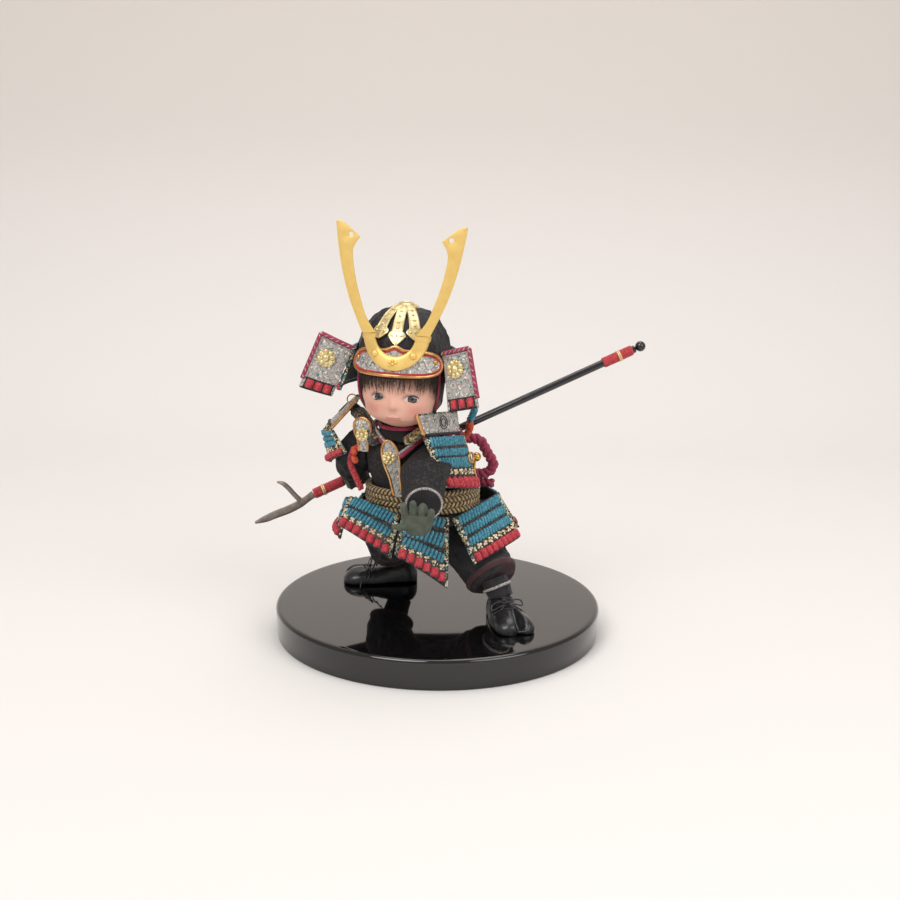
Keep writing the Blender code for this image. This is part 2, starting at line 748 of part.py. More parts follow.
def make_hand(name, wrist, up, across, out, spread_angle=0.10):
    """An open gloved hand: palm, four fingers and a thumb as one glove."""
    loops = []
    for share, wide in ((0.0, 0.62), (0.25, 0.86), (0.6, 1.0), (1.0, 0.96)):
        centre = wrist + up * PALM_L * share
        loops.append(ring(centre, across * PALM_W / 2 * wide, out * PALM_T / 2, 10, 2.6))
    palm = skin(name, loops, GLOVE)
    for k, reach in enumerate(FINGER_REACH):
        offset = (k - 1.5) / 4
        base = wrist + up * PALM_L * 0.85 + across * PALM_W * offset
        lean = (up + across * offset * spread_angle * 4).normalized()
        tip = base + lean * FINGER_L * reach + out * FINGER_R * 0.8
        bend = (base + tip) / 2 + out * FINGER_R * 0.2
        fuse(palm, rod("finger", [base - lean * FINGER_R, bend, tip - lean * FINGER_R * 0.5, tip],
                       [FINGER_R, FINGER_R, FINGER_R * 0.9, FINGER_R * 0.55], GLOVE, 6))
    base = wrist + up * PALM_L * 0.32 - across * PALM_W * 0.28
    tip = base - across * PALM_W * 0.50 + up * PALM_L * 0.06 + out * FINGER_R
    fuse(palm, rod("thumb", [base, (base + tip) / 2 + out * FINGER_R * 0.3, tip],
                   [FINGER_R * 1.15, FINGER_R * 1.1, FINGER_R * 0.6], GLOVE, 6))
    return palm


def make_fist(name, centre, axis, wrist):
    """A gloved fist closed round the shaft, with four finger ridges."""
    axis = axis.normalized()
    back = wrist - centre
    back = (back - axis * back.dot(axis)).normalized()
    side = axis.cross(back).normalized()
    loops = []
    for k in range(9):
        share = k / 8 - 0.5
        swell = 1.0 if k % 2 else 0.9
        taper = 0.72 if k in (0, 8) else 1.0
        loops.append(ring(centre + back * 0.002 + axis * share * FIST_L, side * 0.0072 * swell * taper,
                          back * 0.0085 * swell * taper, 10))
    fist = skin(name, loops, GLOVE)
    fuse(fist, rod("wrist", [centre + back * 0.004, wrist], 0.0052, GLOVE, 8))
    reach = axis * (FIST_L + CUT_MARGIN)
    cut(fist, rod("bore", [centre - reach, centre + reach], SHAFT_R + GAP, GLOVE, 10))
    return fist


# Head

def to_head(point):
    """Place a point of the head's own frame in the doll."""
    turn = Matrix.Rotation(-HEAD_TURN, 4, "Z") @ Matrix.Rotation(HEAD_TILT, 4, "Y")
    return HEAD + turn @ point


def head_size(z):
    """A millimetre value drawn for the head, scaled with the head's own width."""
    return z * 0.001 * HEAD_RX / FACE_WIDTH_DRAWN


def make_head():
    """Head and neck: a round childlike face with a small nose, soft cheeks and a chin."""
    count = 16
    loops = []
    for z, wide, neck_y, deep in HEAD_RINGS:
        loop = []
        for k in range(count):
            angle = 2 * math.pi * k / count
            c, s = math.cos(angle), math.sin(angle)
            if deep is None:
                point = Vector((NECK_R * c, neck_y * 0.001 + NECK_R * s, head_size(z)))
            else:
                front = s < 0
                point = Vector((HEAD_RX * wide * c, HEAD_RY * (deep if front else wide) * s, head_size(z)))
                point.y += face_relief(point.x, z) if front else 0.0
                if z < -20:
                    point.y += (-20 - z) * 0.0011
            loop.append(to_head(point))
        loops.append(loop)
    tips = (middle(loops[0]), to_head(Vector((0, 0, head_size(30.5)))))
    return skin("head", loops, SKIN, tips=tips)


def face_relief(x, z):
    """Forward push of nose, lips and cheeks, and the eye hollows, in metres (negative is forward)."""
    nose = -0.0022 * math.exp(-(x / 0.0028) ** 2 - ((z + 8.5) / 3.2) ** 2)
    lips = -0.0009 * math.exp(-(x / 0.0045) ** 2 - ((z + 17.0) / 2.4) ** 2)
    eyes = 0.0008 * math.exp(-((abs(x) - 0.0115) / 0.005) ** 2 - ((z + 3.0) / 3.0) ** 2)
    return nose + lips + eyes


def dome(azimuth, elevation, offset=0.0):
    """A point over the helmet bowl: azimuth from the front towards the doll's left."""
    flat = math.cos(elevation)
    return BOWL + Vector(((BOWL_RX + offset) * flat * math.sin(azimuth),
                          -(BOWL_RY + offset) * flat * math.cos(azimuth),
                          (BOWL_RZ + offset) * math.sin(elevation)))


def bowl_loop(elevation, offset, ribs=False, drop=0.0):
    """A level loop of the bowl, with every other point raised where it has ribs."""
    loop = []
    for k in range(BOWL_SEGMENTS):
        rib = BOWL_RIB_H if ribs and k % 2 == 0 else 0.0
        point = dome(2 * math.pi * k / BOWL_SEGMENTS, elevation, offset + rib)
        point.z -= drop
        loop.append(to_head(point))
    return loop


def make_bowl():
    """The ribbed helmet bowl, hollow, with a plain rim."""
    inner = [bowl_loop(e, -BOWL_WALL) for e in reversed(BOWL_LEVELS)]
    inner.append(bowl_loop(0.0, -BOWL_WALL, drop=RIM_DROP))
    outer = [bowl_loop(0.0, 0.0, drop=RIM_DROP)]
    outer += [bowl_loop(e, 0.0, ribs=e < math.radians(70)) for e in BOWL_LEVELS]
    tips = (to_head(dome(0, math.pi / 2, -BOWL_WALL)), to_head(dome(0, math.pi / 2)))
    return skin("helmet_bowl", inner + outer, ("17161a", 0.45, 0.2), tips=tips)


def make_hair(head):
    """The wig: it fills the bowl above, hangs as a fringe in front and covers sides and nape."""
    cap = -BOWL_WALL - GAP
    loops = []
    for z, grow in ((-19.0, -0.0035), (-12.0, HAIR_T * 0.6), (0.0, HAIR_T), (10.0, HAIR_T)):
        loop = []
        for k in range(16):
            angle = 2 * math.pi * k / 16
            loop.append(to_head(Vector(((HEAD_RX + grow) * math.sin(angle),
                                        0.001 - (HEAD_RY + grow) * math.cos(angle), head_size(z)))))
        loops.append(loop)
    for e in (0.0, 0.45, 0.95):
        loops.append([to_head(dome(2 * math.pi * k / 16, e, cap - 0.0006)) for k in range(16)])
    tips = (middle(loops[0]), to_head(dome(0, math.pi / 2, cap - 0.0006)))
    hair = skin("hair", loops, HAIR, tips=tips)
    trim(hair, head)
    low, high, front, back = -0.060, head_size(4.0), -0.060, head_size(-7.0)
    corners = [(-0.06, front), (0.06, front), (0.06, back), (-0.06, back)]
    face = [[to_head(Vector((x, y, z))) for x, y in corners] for z in (low, high)]
    cut(hair, skin("face_opening", face, HAIR))
    return hair


def make_crown_ornament():
    """The scalloped gilt ring on the crown, with three ridge plates running down from it."""
    ornament = make_finial()
    for azimuth, low in RIDGE_PLATES:
        fuse(ornament, make_ridge_plate("ridge_plate", azimuth, math.radians(low)))
    return ornament


def make_finial():
    """The scalloped gilt ring on the crown of the bowl."""
    loops = []
    for k in range(16):
        angle = 2 * math.pi * k / 16
        radius = FINIAL_R * (1.0 if k % 2 else 0.88)
        loop = []
        for share, lift in ((0.35, GAP), (1.0, GAP), (1.0, FINIAL_H * 0.45), (0.7, FINIAL_H * 0.6),
                            (0.6, FINIAL_H), (0.35, FINIAL_H)):
            r = radius * share if share > 0.5 else FINIAL_R * share
            z = BOWL_RZ * math.sqrt(1 - (r / BOWL_RX) ** 2) + lift
            loop.append(to_head(BOWL + Vector((r * math.sin(angle), -r * math.cos(angle), z))))
        loops.append(loop)
    return skin("crown_ornament", loops, GOLD, closed=True)


def make_ridge_plate(name, azimuth, low):
    """A gilt strip with an arrow-shaped end, running down the front of the bowl."""
    offset = BOWL_RIB_H + GAP * 1.6
    top = math.radians(80)
    shares = ((0.0, 0.72), (0.15, 0.8), (0.3, 0.9), (0.45, 0.95), (0.6, 1.0), (0.74, 1.0), (0.84, 1.6),
              (0.93, 1.0), (1.0, 0.12))
    front, back = [], []
    for share, wide in shares:
        elevation = top + (low - top) * share
        half = RIDGE_PLATE_W / 2 * wide / (BOWL_RX * math.cos(elevation))
        az = azimuth * (1.0 - 0.14 * share)
        front.append([to_head(dome(az + half * u, elevation, offset + RIDGE_PLATE_T * (1 - 0.4 * abs(u))))
                      for u in (-1, -0.4, 0.4, 1)])
        back.append([to_head(dome(az + half * u, elevation, offset)) for u in (-1, -0.4, 0.4, 1)])
    return skin(name, [f + list(reversed(b)) for f, b in zip(front, back)], GOLD)


def visor_radius(z):
    """Inner radius of the visor about the bowl's axis at a height in the head's frame."""
    share = (VISOR_TOP - z) / VISOR_H
    at_top = BOWL_RY * math.sqrt(1 - ((VISOR_TOP - BOWL.z) / BOWL_RZ) ** 2) + BOWL_RIB_H
    return at_top + VISOR_FLARE * share


def visor_point(u, v, inset, depth):
    """A point of the visor: u across, v up, both -1 to 1, inset from its outline."""
    end = (1 - abs(u) ** 5) ** 0.4
    half = VISOR_H / 2 * max(end, 0.02) - inset * min(1.0, end * 1.3)
    mid = VISOR_LOW + VISOR_H / 2 - 0.0012 * (u * u - 0.4)
    peak = 0.0028 * math.exp(-(u / 0.13) ** 2) * max(v, 0.0)
    z = mid + half * v + peak
    angle = u * (VISOR_SPREAD - inset / visor_radius(VISOR_LOW))
    r = visor_radius(z) + depth
    return to_head(Vector((BOWL.x + r * math.sin(angle), BOWL.y - r * math.cos(angle), z)))


def make_visor():
    """The bean-shaped visor plate."""
    us = [math.sin(math.pi / 2 * k / 7) for k in range(-7, 8)]
    vs = (1.0, 0.0, -1.0)
    inset = VISOR_RIM_R * 2 + GAP * 2
    front = [[visor_point(u * 0.985, v, inset, VISOR_T) for u in us] for v in vs]
    back = [[visor_point(u * 0.985, v, inset, 0.0) for u in us] for v in vs]
    return shell("visor", front, back, BROCADE)


def visor_outline(inset, depth, steps=7):
    """The visor's outline as a closed loop of points."""
    us = [math.sin(math.pi / 2 * k / steps) for k in range(-steps, steps + 1)]
    upper = [visor_point(u, 1.0, inset, depth) for u in us]
    lower = [visor_point(u, -1.0, inset, depth) for u in reversed(us[1:-1])]
    return upper + lower


def loop_tube(name, points, radius, look, sides=6, flat=1.0):
    """A closed tube round a loop of points."""
    loops = []
    count = len(points)
    heart = middle(points)
    for k, p in enumerate(points):
        tangent = (points[(k + 1) % count] - points[k - 1]).normalized()
        out = (p - heart)
        out = (out - tangent * out.dot(tangent)).normalized()
        up = tangent.cross(out)
        loops.append(ring(p, out * radius, up * radius * flat, sides))
    return skin(name, loops, look, closed=True)


def make_visor_rim():
    """The gilt rim round the visor."""
    return loop_tube("visor_rim", visor_outline(VISOR_RIM_R, VISOR_T / 2), VISOR_RIM_R, GOLD, 5)


def crest_depth(x, z, lift):
    """Depth of the crest socket over the visor at a place in the head's frame."""
    level = min(max(z, VISOR_LOW), VISOR_TOP)
    r = visor_radius(level) + VISOR_T + GAP * 1.5 + lift
    return BOWL.y - math.sqrt(max(r * r - x * x * 0.8, 1e-6))


def make_crest_socket():
    """The U-shaped gilt socket with a sleeve at each end that holds a horn."""
    loops = []
    steps = 14
    for k in range(steps + 1):
        angle = math.pi * (k / steps - 0.5)
        x, z = CREST_HALF * math.sin(angle), CREST_TOP - CREST_DROP * math.cos(angle)
        tangent = Vector((CREST_HALF * math.cos(angle), 0, CREST_DROP * math.sin(angle))).normalized()
        across = Vector((-tangent.z, 0, tangent.x))
        half = (CREST_W if 0 < k < steps else CREST_LIP_W) / 2
        thick = CREST_T if 0 < k < steps else CREST_LIP_T
        loop = []
        for side, lift in ((-1, 0.0), (1, 0.0), (1, 0.75), (0.4, 1.0), (-0.4, 1.0), (-1, 0.75)):
            px, pz = x + across.x * half * side, z + across.z * half * side
            loop.append(to_head(Vector((px, crest_depth(px, pz, 0.0) - thick * lift, pz))))
        loops.append(loop)
    return skin("crest_socket", loops, GOLD)


def horn_point(side, x, z, depth):
    """A point of a horn's plate, which leans back a little towards its tip."""
    root = crest_depth(CREST_HALF, VISOR_TOP, CREST_T / 2)
    y = root + max(z - CREST_TOP, 0) * 0.09 + depth
    return to_head(Vector((side * x, y, z)))


def make_horn(name, side):
    """A flat gilt horn with a notched, pierced tip."""
    outline = [(x * 0.001, z * 0.001) for x, z in HORN_OUTER + HORN_TOP + HORN_INNER]
    outline = [(x, max(z, CREST_TOP + GAP)) for x, z in outline]
    count = len(outline)
    verts = [horn_point(side, x, z, d) for d in (-HORN_T / 2, HORN_T / 2) for x, z in outline]
    faces = [tuple(range(count)), tuple(range(2 * count - 1, count - 1, -1))]
    faces += [(k, (k + 1) % count, count + (k + 1) % count, count + k) for k in range(count)]
    horn = solid(name, verts, faces, GOLD)
    eye = horn_point(side, *HORN_EYE, 0.0)
    along = to_head(Vector((0, 1, 0))) - HEAD
    cut(horn, turned("eye", eye - along * CUT_MARGIN, along,
                     [(HORN_HOLE_R, 0.0), (HORN_HOLE_R, CUT_MARGIN * 2)], GOLD, 10))
    return horn


def neck_guard_radius(z):
    """Inner radius of the neck guard about the bowl's axis, at a height in the head's frame."""
    top = max(BOWL_RX, BOWL_RY) + GAP
    return top + NECK_GUARD_FLARE * (GUARD_TOP - z) / NECK_GUARD_H


def make_neck_guard():
    """The neck guard: three flared, laced lames round sides and back, as one hanging piece."""
    steps = 14
    loops = []
    for k in range(steps + 1):
        angle = GUARD_STARTS[1] + (2 * math.pi - sum(GUARD_STARTS.values())) * k / steps
        out = Vector((math.sin(angle), -math.cos(angle), 0))
        rib = 1.0 if k % 2 else 0.75
        loop = []
        for share, lift in ((0.0, 0.6), (0.15, 1.0), (0.32, 0.6), (0.48, 1.0), (0.65, 0.6), (0.82, 1.0),
                            (1.0, 0.6)):
            z = GUARD_TOP - NECK_GUARD_H * share
            thick = NECK_GUARD_T * (lift if lift < 1.0 else rib)
            loop.append(to_head(Vector((BOWL.x, BOWL.y, z)) + out * (neck_guard_radius(z) + thick)))
        for share in (1.0, 0.0):
            z = GUARD_TOP - NECK_GUARD_H * share
            loop.append(to_head(Vector((BOWL.x, BOWL.y, z)) + out * neck_guard_radius(z)))
        loops.append(loop)
    return skin("neck_guard", loops, TEAL)


def wing_corners(side):
    """Corners of a turned-back wing, standing out from the neck guard's front edge."""
    z, start = WING_ROOT_Z[side] * 0.001, GUARD_STARTS[side]
    r = neck_guard_radius(z) + NECK_GUARD_T + GAP
    root = Vector((side * r * math.sin(start), BOWL.y - r * math.cos(start), z))
    root += mm(*WING_ROOT_SHIFT[side])
    top_out, low_out, low_in = [root + mm(*reach) for reach in WING_REACH[side]]
    corners = [top_out, root, low_in, low_out] if side < 0 else [root, top_out, low_out, low_in]
    return [to_head(c) for c in corners]


def make_wing(name, side):
    """A brocade wing with a padded border and a row of blocks along its lower edge."""
    corners = wing_corners(side)
    columns = (0.0, 0.07, 0.12, 0.34, 0.40, 0.62, 0.68, 0.90, 0.95, 1.0)
    levels = (0.0, 0.06, 0.12, 0.70, 0.76, 0.80, 0.95, 1.0)

    def height(u, v):
        if v in (0.80, 0.95):
            return WING_BLOCK_H if 0.1 < u < 0.35 or 0.39 < u < 0.63 or 0.67 < u < 0.91 else 0.0
        if v == 0.06 or u in (0.07, 0.95):
            return 0.0007
        return 0.0

    front, back = relief((columns, levels), corners, 0.001, WING_T, height)
    slab_front, slab_back = relief((spread(2), spread(2)), corners, 0.0, WING_T, lambda u, v: 0.0)
    slab = shell(name + "_slab", slab_front, slab_back, BROCADE)
    slab.hide_render = True
    slab.display_type = "WIRE"
    slabs[name] = slab
    return shell(name, front, back, BROCADE)


def make_boss(name, corners, bulge, thickness, u, v, radius):
    """A chrysanthemum boss on a plate: petals round a raised heart."""
    out = normal(corners)
    centre = patch(corners, bulge, u, v) + out * (thickness / 2 + GAP * 1.4)
    side = (corners[1] - corners[0]).normalized()
    side = (side - out * side.dot(out)).normalized()
    up = out.cross(side)
    count = 16
    loops = []
    for share, lift in ((1.0, 0.0), (1.0, 0.45), (0.62, 0.7), (0.50, 0.55), (0.42, 1.0)):
        loop = []
        for k in range(count):
            angle = 2 * math.pi * k / count
            petal = 1.0 if k % 2 == 0 or share < 0.6 else 0.88
            spoke = side * math.cos(angle) + up * math.sin(angle)
            loop.append(centre + spoke * radius * share * petal + out * BOSS_H * lift)
        loops.append(loop)
    return skin(name, loops, GOLD)


def make_chin_cord(head, hair):
    """The red cord from the helmet down both cheeks and under the chin."""
    points = [Vector((head_size(x), head_size(y), head_size(z))) for x, y, z in CHIN_CORD_PATH]
    points += [Vector((-p.x, p.y, p.z)) for p in reversed(points[:-1])]
    cord = rod("chin_cord", [to_head(p) for p in points], CHIN_CORD_R, RED, 6)
    trim(cord, head, hair)
    return cord


# Chest fittings

def make_chest_plate(name, top, bottom, across, out, width):
    """A leaf-shaped chest plate with a gilt rim raised round its edge."""
    front, back = [], []
    axis = bottom - top
    for share, wide in ((0.0, 0.28), (0.06, 0.66), (0.16, 0.94), (0.30, 1.0), (0.45, 0.92), (0.62, 0.66),
                        (0.82, 0.56), (1.0, 0.50)):
        centre = top + axis * share
        half = across * width / 2 * wide
        front.append([centre + half * u + out * lift * 0.001
                      for u, lift in ((-1, 1.9), (-0.80, 1.9), (-0.74, 1.2), (0, 1.5), (0.74, 1.2),
                                      (0.80, 1.9), (1, 1.9))])
        back.append([centre + half * u for u in (-1, -0.80, -0.74, 0, 0.74, 0.80, 1)])
    return shell(name, front, back, BROCADE)


def make_back_bow():
    """The large braided bow on the back: two loops and two tails round one knot."""
    knot = pt(3.0, 22.0, 106.0)
    left = [knot, pt(10, 23.0, 112), pt(21, 24.5, 118.5), pt(31, 25, 116.5), pt(36, 25, 108), pt(41, 25, 99),
            pt(37.5, 25, 92.5), pt(28, 24.5, 91.5), pt(14, 23.5, 98), knot]
    right = [knot, pt(-6, 23.0, 112), pt(-17, 23.5, 117), pt(-27, 23.5, 113), pt(-31, 23.5, 104),
             pt(-25, 23.5, 96), pt(-12, 23, 98), knot]
    bow = rod("back_bow", [knot + mm(x, 0, 0) for x in (5.5, 2.0, -2.0, -5.5)],
              [0.0036, 0.0052, 0.0052, 0.0036], CRIMSON, 8)
    for path in (left, right):
        fuse(bow, rod("bow_loop", smooth(path, 2)[1:-1], BOW_R, CRIMSON, 5))
    for path in ([knot, pt(14, 24, 93), pt(28, 25.5, 85.5), pt(41, 26, 83.5)],
                 [knot, pt(-8, 24, 95), pt(-14, 26, 86)]):
        fuse(bow, rod("bow_tail", smooth(path, 2), BOW_R * 0.9, CRIMSON, 5))
    return bow


# Spear

def spear_axis():
    """Direction of the spear's shaft."""
    return (SPEAR_BUTT - SPEAR_FRONT).normalized()


def spear_at(distance):
    """A point on the shaft's axis, at a distance behind the front end of the wrap."""
    return SPEAR_FRONT + spear_axis() * distance


def spear_piece(name, start, end, radius, look, sides=10, inner=None):
    """A straight round piece along the shaft, solid or as a sleeve round it."""
    if inner is None:
        profile = [(radius, 0.0), (radius, end - start)]
        return turned(name, spear_at(start), spear_axis(), profile, look, sides)
    wall = radius - inner
    profile = [(0.0, 0.0), (wall * 0.8, 0.0), (wall, (end - start) * 0.12), (wall, (end - start) * 0.88),
               (wall * 0.8, end - start), (0.0, end - start)]
    return band(name, spear_at(start), spear_axis(), inner, profile, look, sides)


def make_spear():
    """Shaft, two cord wraps with metal bands, the blade with its side prong, and the butt ball."""
    bore = SHAFT_R + GAP
    spear_piece("spear_shaft", GAP, SHAFT_END, SHAFT_R, ("131214", 0.2, 0.0))
    for name, wrap, band_at in (("spear_front_wrap", FRONT_WRAP, FRONT_BAND),
                                ("spear_butt_wrap", BUTT_WRAP, BUTT_BAND)):
        piece = spear_piece(name, *wrap, WRAP_R, RED, inner=bore)
        fuse(piece, spear_piece("band", band_at, band_at + SPEAR_BAND_W, SPEAR_BAND_R, GOLD,
                                inner=bore + GAP))
    steps = 4
    profile = []
    for k in range(1, 2 * steps):
        angle = math.pi * k / (2 * steps)
        profile.append((BALL_R * math.sin(angle), BALL_R * (1 - math.cos(angle))))
    turned("spear_butt_ball", spear_at(SHAFT_END + GAP), spear_axis(), profile, LACQUER, 10)
    make_blade()


def make_blade():
    """The curved blade with a prong that branches off above it."""
    path = [pt(-93.4, 24.0, 74.6), pt(-97.5, 23.8, 71.6), pt(-104.0, 23.5, 67.0), pt(-112.6, 23.2, 62.6),
            pt(-121.0, 23.0, 59.3), pt(-129.5, 22.6, 55.6), pt(-137.4, 22.0, 52.6)]
    path[0] = spear_at(-GAP)
    halves = [0.0029, 0.0026, 0.0030, 0.0031, 0.0030, 0.0024, 0.0005]
    loops = []
    for p, half, (tangent, _, _) in zip(path, halves, frames(path)):
        up = Vector((0, 1, 0)).cross(tangent).normalized()
        deep = tangent.cross(up).normalized()
        loops.append(ring(p, up * half, deep * BLADE_T / 2, 8))
    blade = skin("spear_blade", loops, STEEL)
    prong = [pt(-101.5, 23.7, 68.5), pt(-104.6, 23.9, 71.0), pt(-108.4, 24.0, 75.0), pt(-112.4, 24.0, 79.6),
             pt(-116.2, 24.0, 82.8), pt(-120.6, 24.0, 84.0)]
    fuse(blade, rod("prong", prong, [0.0020, 0.0019, 0.0017, 0.0016, 0.0013, 0.0005], STEEL, 8))
    return blade


def make_head_group():
    """Head, hair, helmet and everything that the helmet carries."""
    head = make_head()
    hair = make_hair(head)
    trim(hair, make_bowl())
    make_crown_ornament()
    make_visor()
    make_visor_rim()
    make_crest_socket()
    make_horn("left_horn", 1)
    make_horn("right_horn", -1)
    neck_guard = make_neck_guard()
    for name, side in (("left_wing", 1), ("right_wing", -1)):
        make_wing(name, side)
        make_boss(name + "_boss", wing_corners(side), 0.001, WING_T, *WING_BOSS_AT[side], BOSS_R)
    cord = make_chin_cord(head, hair)
    return head, neck_guard, cord


def make_chest_fittings(cuirass):
    """The two leaf-shaped chest plates with their bosses."""
    forward = Vector((0, -1, 0.1)).normalized()
    centre = make_chest_plate("centre_chest_plate", pt(-36.2, -33.8, 130.0), pt(-28.6, -34.6, 89.5),
                              Vector((1, 0, 0)), forward, 0.0125)
    outward = Vector((-0.3, -1, 0.1)).normalized()
    across = Vector((1, -0.3, 0)).normalized()
    right = make_chest_plate("right_chest_plate", pt(-54.4, -22.5, 144.0), pt(-53.4, -25.5, 120.5),
                             across, outward, 0.0135)
    trim(cuirass, centre, right)
    for name, base, along, out in (("centre_chest_boss", pt(-35.4, -35.6, 118.2), Vector((1, 0, 0)), forward),
                                   ("right_chest_boss", pt(-54.6, -25.4, 132.4), across, outward)):
        up = out.cross(along).normalized()
        half = BOSS_R * 0.8
        square = [base - along * half + up * half, base + along * half + up * half,
                  base + along * half - up * half, base - along * half - up * half]
        boss = make_boss(name, square, 0.0, 0.0, 0.5, 0.5, half)
        trim(boss, centre, right)
    return centre, right


def make_collars(head, body, cuirass, plates):
    """The black inner collar and the crimson robe collar that crosses at the throat."""
    inner_path = [pt(-30, -29.5, 130.5), pt(-16.5, -25.5, 133), pt(-11, -14, 137), pt(-15.5, -3, 139),
                  pt(-26, 2, 139.5), pt(-36.5, -3, 139), pt(-40.5, -14, 137), pt(-37.5, -24, 133.5)]
    inner = rod("inner_collar", inner_path, INNER_COLLAR_R, BLACK_CLOTH, 7)
    outer_path = [pt(-28, -35.5, 119), pt(-18, -33.5, 127), pt(-8.5, -25, 133.5), pt(-5, -12, 136),
                  pt(-11, 1, 135.5), pt(-26, 6, 134.5), pt(-40, 1, 135.5), pt(-46, -12, 136),
                  pt(-43.5, -25, 133), pt(-37, -33, 126.5)]
    outer = rod("robe_collar", smooth(outer_path, 2), COLLAR_R, CRIMSON, 6)
    trim(inner, head)
    trim(inner, body, gap=GAP * 2)
    trim(outer, head, inner, body, cuirass, *plates)
    return inner, outer


def make_straps(caps, neighbours):
    """The padded shoulder straps between the cuirass and the shoulder caps."""
    left_path = [pt(-24, -33.5, 129.5), pt(-17, -36, 135), pt(-10, -33, 139), pt(-4, -22, 140),
                 pt(-2, -12, 139)]
    left = rod("left_shoulder_strap", smooth(left_path, 2), STRAP_R, SILVER, 7, 0.7)
    right_path = [pt(-45, -27, 128), pt(-50, -20, 136), pt(-55, -10, 142.5), pt(-58, 0, 142.5),
                  pt(-58, 8, 141)]
    right = rod("right_shoulder_strap", smooth(right_path, 2), STRAP_R, SILVER, 7, 0.7)
    fuse(right, rod("tie", [pt(-57, 1, 142), pt(-67, 1, 152)], CAP_TIE_R, SILVER, 7))
    for strap, name in ((left, "left_shoulder_cap"), (right, "right_shoulder_cap")):
        trim(strap, *neighbours, caps[name])
    return left, right


def make_arms(left_solids, right_solids):
    """Sleeves, cuffs and hands."""
    left = make_sleeve("left_sleeve", [(pt(-1, -8, 115), 0.0120, 0.0120),
                                       (pt(-1, -22, 115), 0.0138, 0.0135),
                                       (pt(-5, -35, 112.5), 0.0158, 0.0155),
                                       (pt(-11, -48, 109), 0.017, 0.0165),
                                       (pt(-11, -57, 97.5), 0.0155, 0.0155),
                                       (CUFF_AT, CUFF_R, CUFF_R)])
    right = make_sleeve("right_sleeve", [(pt(-46, -6, 124), 0.013, 0.013), (pt(-54, -1, 119), 0.015, 0.015),
                                         (pt(-62, 7, 109), 0.0150, 0.0150), (pt(-64, 16, 99), 0.0125, 0.0125),
                                         (pt(-63.5, 22, 92.5), 0.0095, 0.0095)])
    axis = CUFF_AXIS.normalized()
    hand = make_hand("left_hand", pt(-15.0, -73.0, 74.5), Vector((0.02, -0.22, 1)).normalized(),
                     Vector((1, -0.05, -0.04)).normalized(), Vector((0, -1, -0.30)).normalized())
    fuse(hand, rod("wrist", [pt(-14.5, -74.5, 82.5), pt(-12.5, -68, 86.5), CUFF_AT - axis * WRIST_SUNK],
                   WRIST_R, GLOVE, 8))
    cuff = band("left_cuff", CUFF_AT + axis * 0.0016, axis, CUFF_R * 0.30,
                [(0.0, -0.0012), (CUFF_R * 0.66, -0.0012), (CUFF_R * 0.74, 0.0), (CUFF_R * 0.66, 0.0012),
                 (0.0, 0.0012)], SILVER, 14)
    grip = spear_at(FRONT_WRAP[1] + GAP + FIST_L / 2)
    fist = make_fist("right_hand", grip, spear_axis(), pt(-63.2, 24.5, 85.5))
    trim(left, *left_solids, cuff, hand)
    trim(cuff, hand)
    trim(fist, right)
    trim(right, *right_solids)
    return left, right, hand, cuff, fist


def make_side_cord():
    """The red cord by the right shoulder, with its two toggles."""
    cord = rod("right_side_cord", smooth([pt(-57, -20.5, 123), pt(-62, -15.5, 117), pt(-63.5, -13, 108),
                                          pt(-60, -11, 98), pt(-56, -12, 89)], 2), SIDE_CORD_R, RED, 6)
    profile = [(TOGGLE_R * 0.36, 0.0), (TOGGLE_R, TOGGLE_L * 0.23), (TOGGLE_R, TOGGLE_L * 0.77),
               (TOGGLE_R * 0.36, TOGGLE_L)]
    fuse(cord, *[turned("toggle", base, axis, profile, ORANGE, 10) for base, axis in TOGGLES])
    return cord


def make_legs(waist, skirt, tassets):
    """Trousers, socks, ankle band and boots."""
    trousers = make_trousers()
    trim(trousers, *waist, skirt, *tassets)
    left_shoe = make_shoe("left_shoe", pt(42.0, -19.5, 0.0), Vector((0.25, -0.968, 0)).normalized(), 0.08)
    right_shoe = make_shoe("right_shoe", pt(-15.5, 44.0, 0.0), Vector((-1, 0, 0)), -0.08)
    left_top, left_low = pt(40.6, -29.6, 27.0), pt(46.0, -34.0, 14.0)
    right_top, right_low = pt(-34.0, 38.0, 30.0), pt(-28.5, 43.0, 14.0)
    left_sock = make_sock("left_sock", left_top, left_low)
    right_sock = make_sock("right_sock", right_top, right_low)
    fuse(left_sock, make_ankle_band("ankle_band", left_top.lerp(left_low, 0.42), left_low - left_top))
    trim(left_sock, trousers, left_shoe)
    trim(right_sock, trousers, right_shoe)
    fuse(left_shoe, make_lace_bow("left_lace", pt(49.2, -47.3, 12.7), Vector((0.968, 0.25, 0.1)).normalized(),
                                  Vector((0.25, -0.968, -0.2)).normalized()))
    return trousers


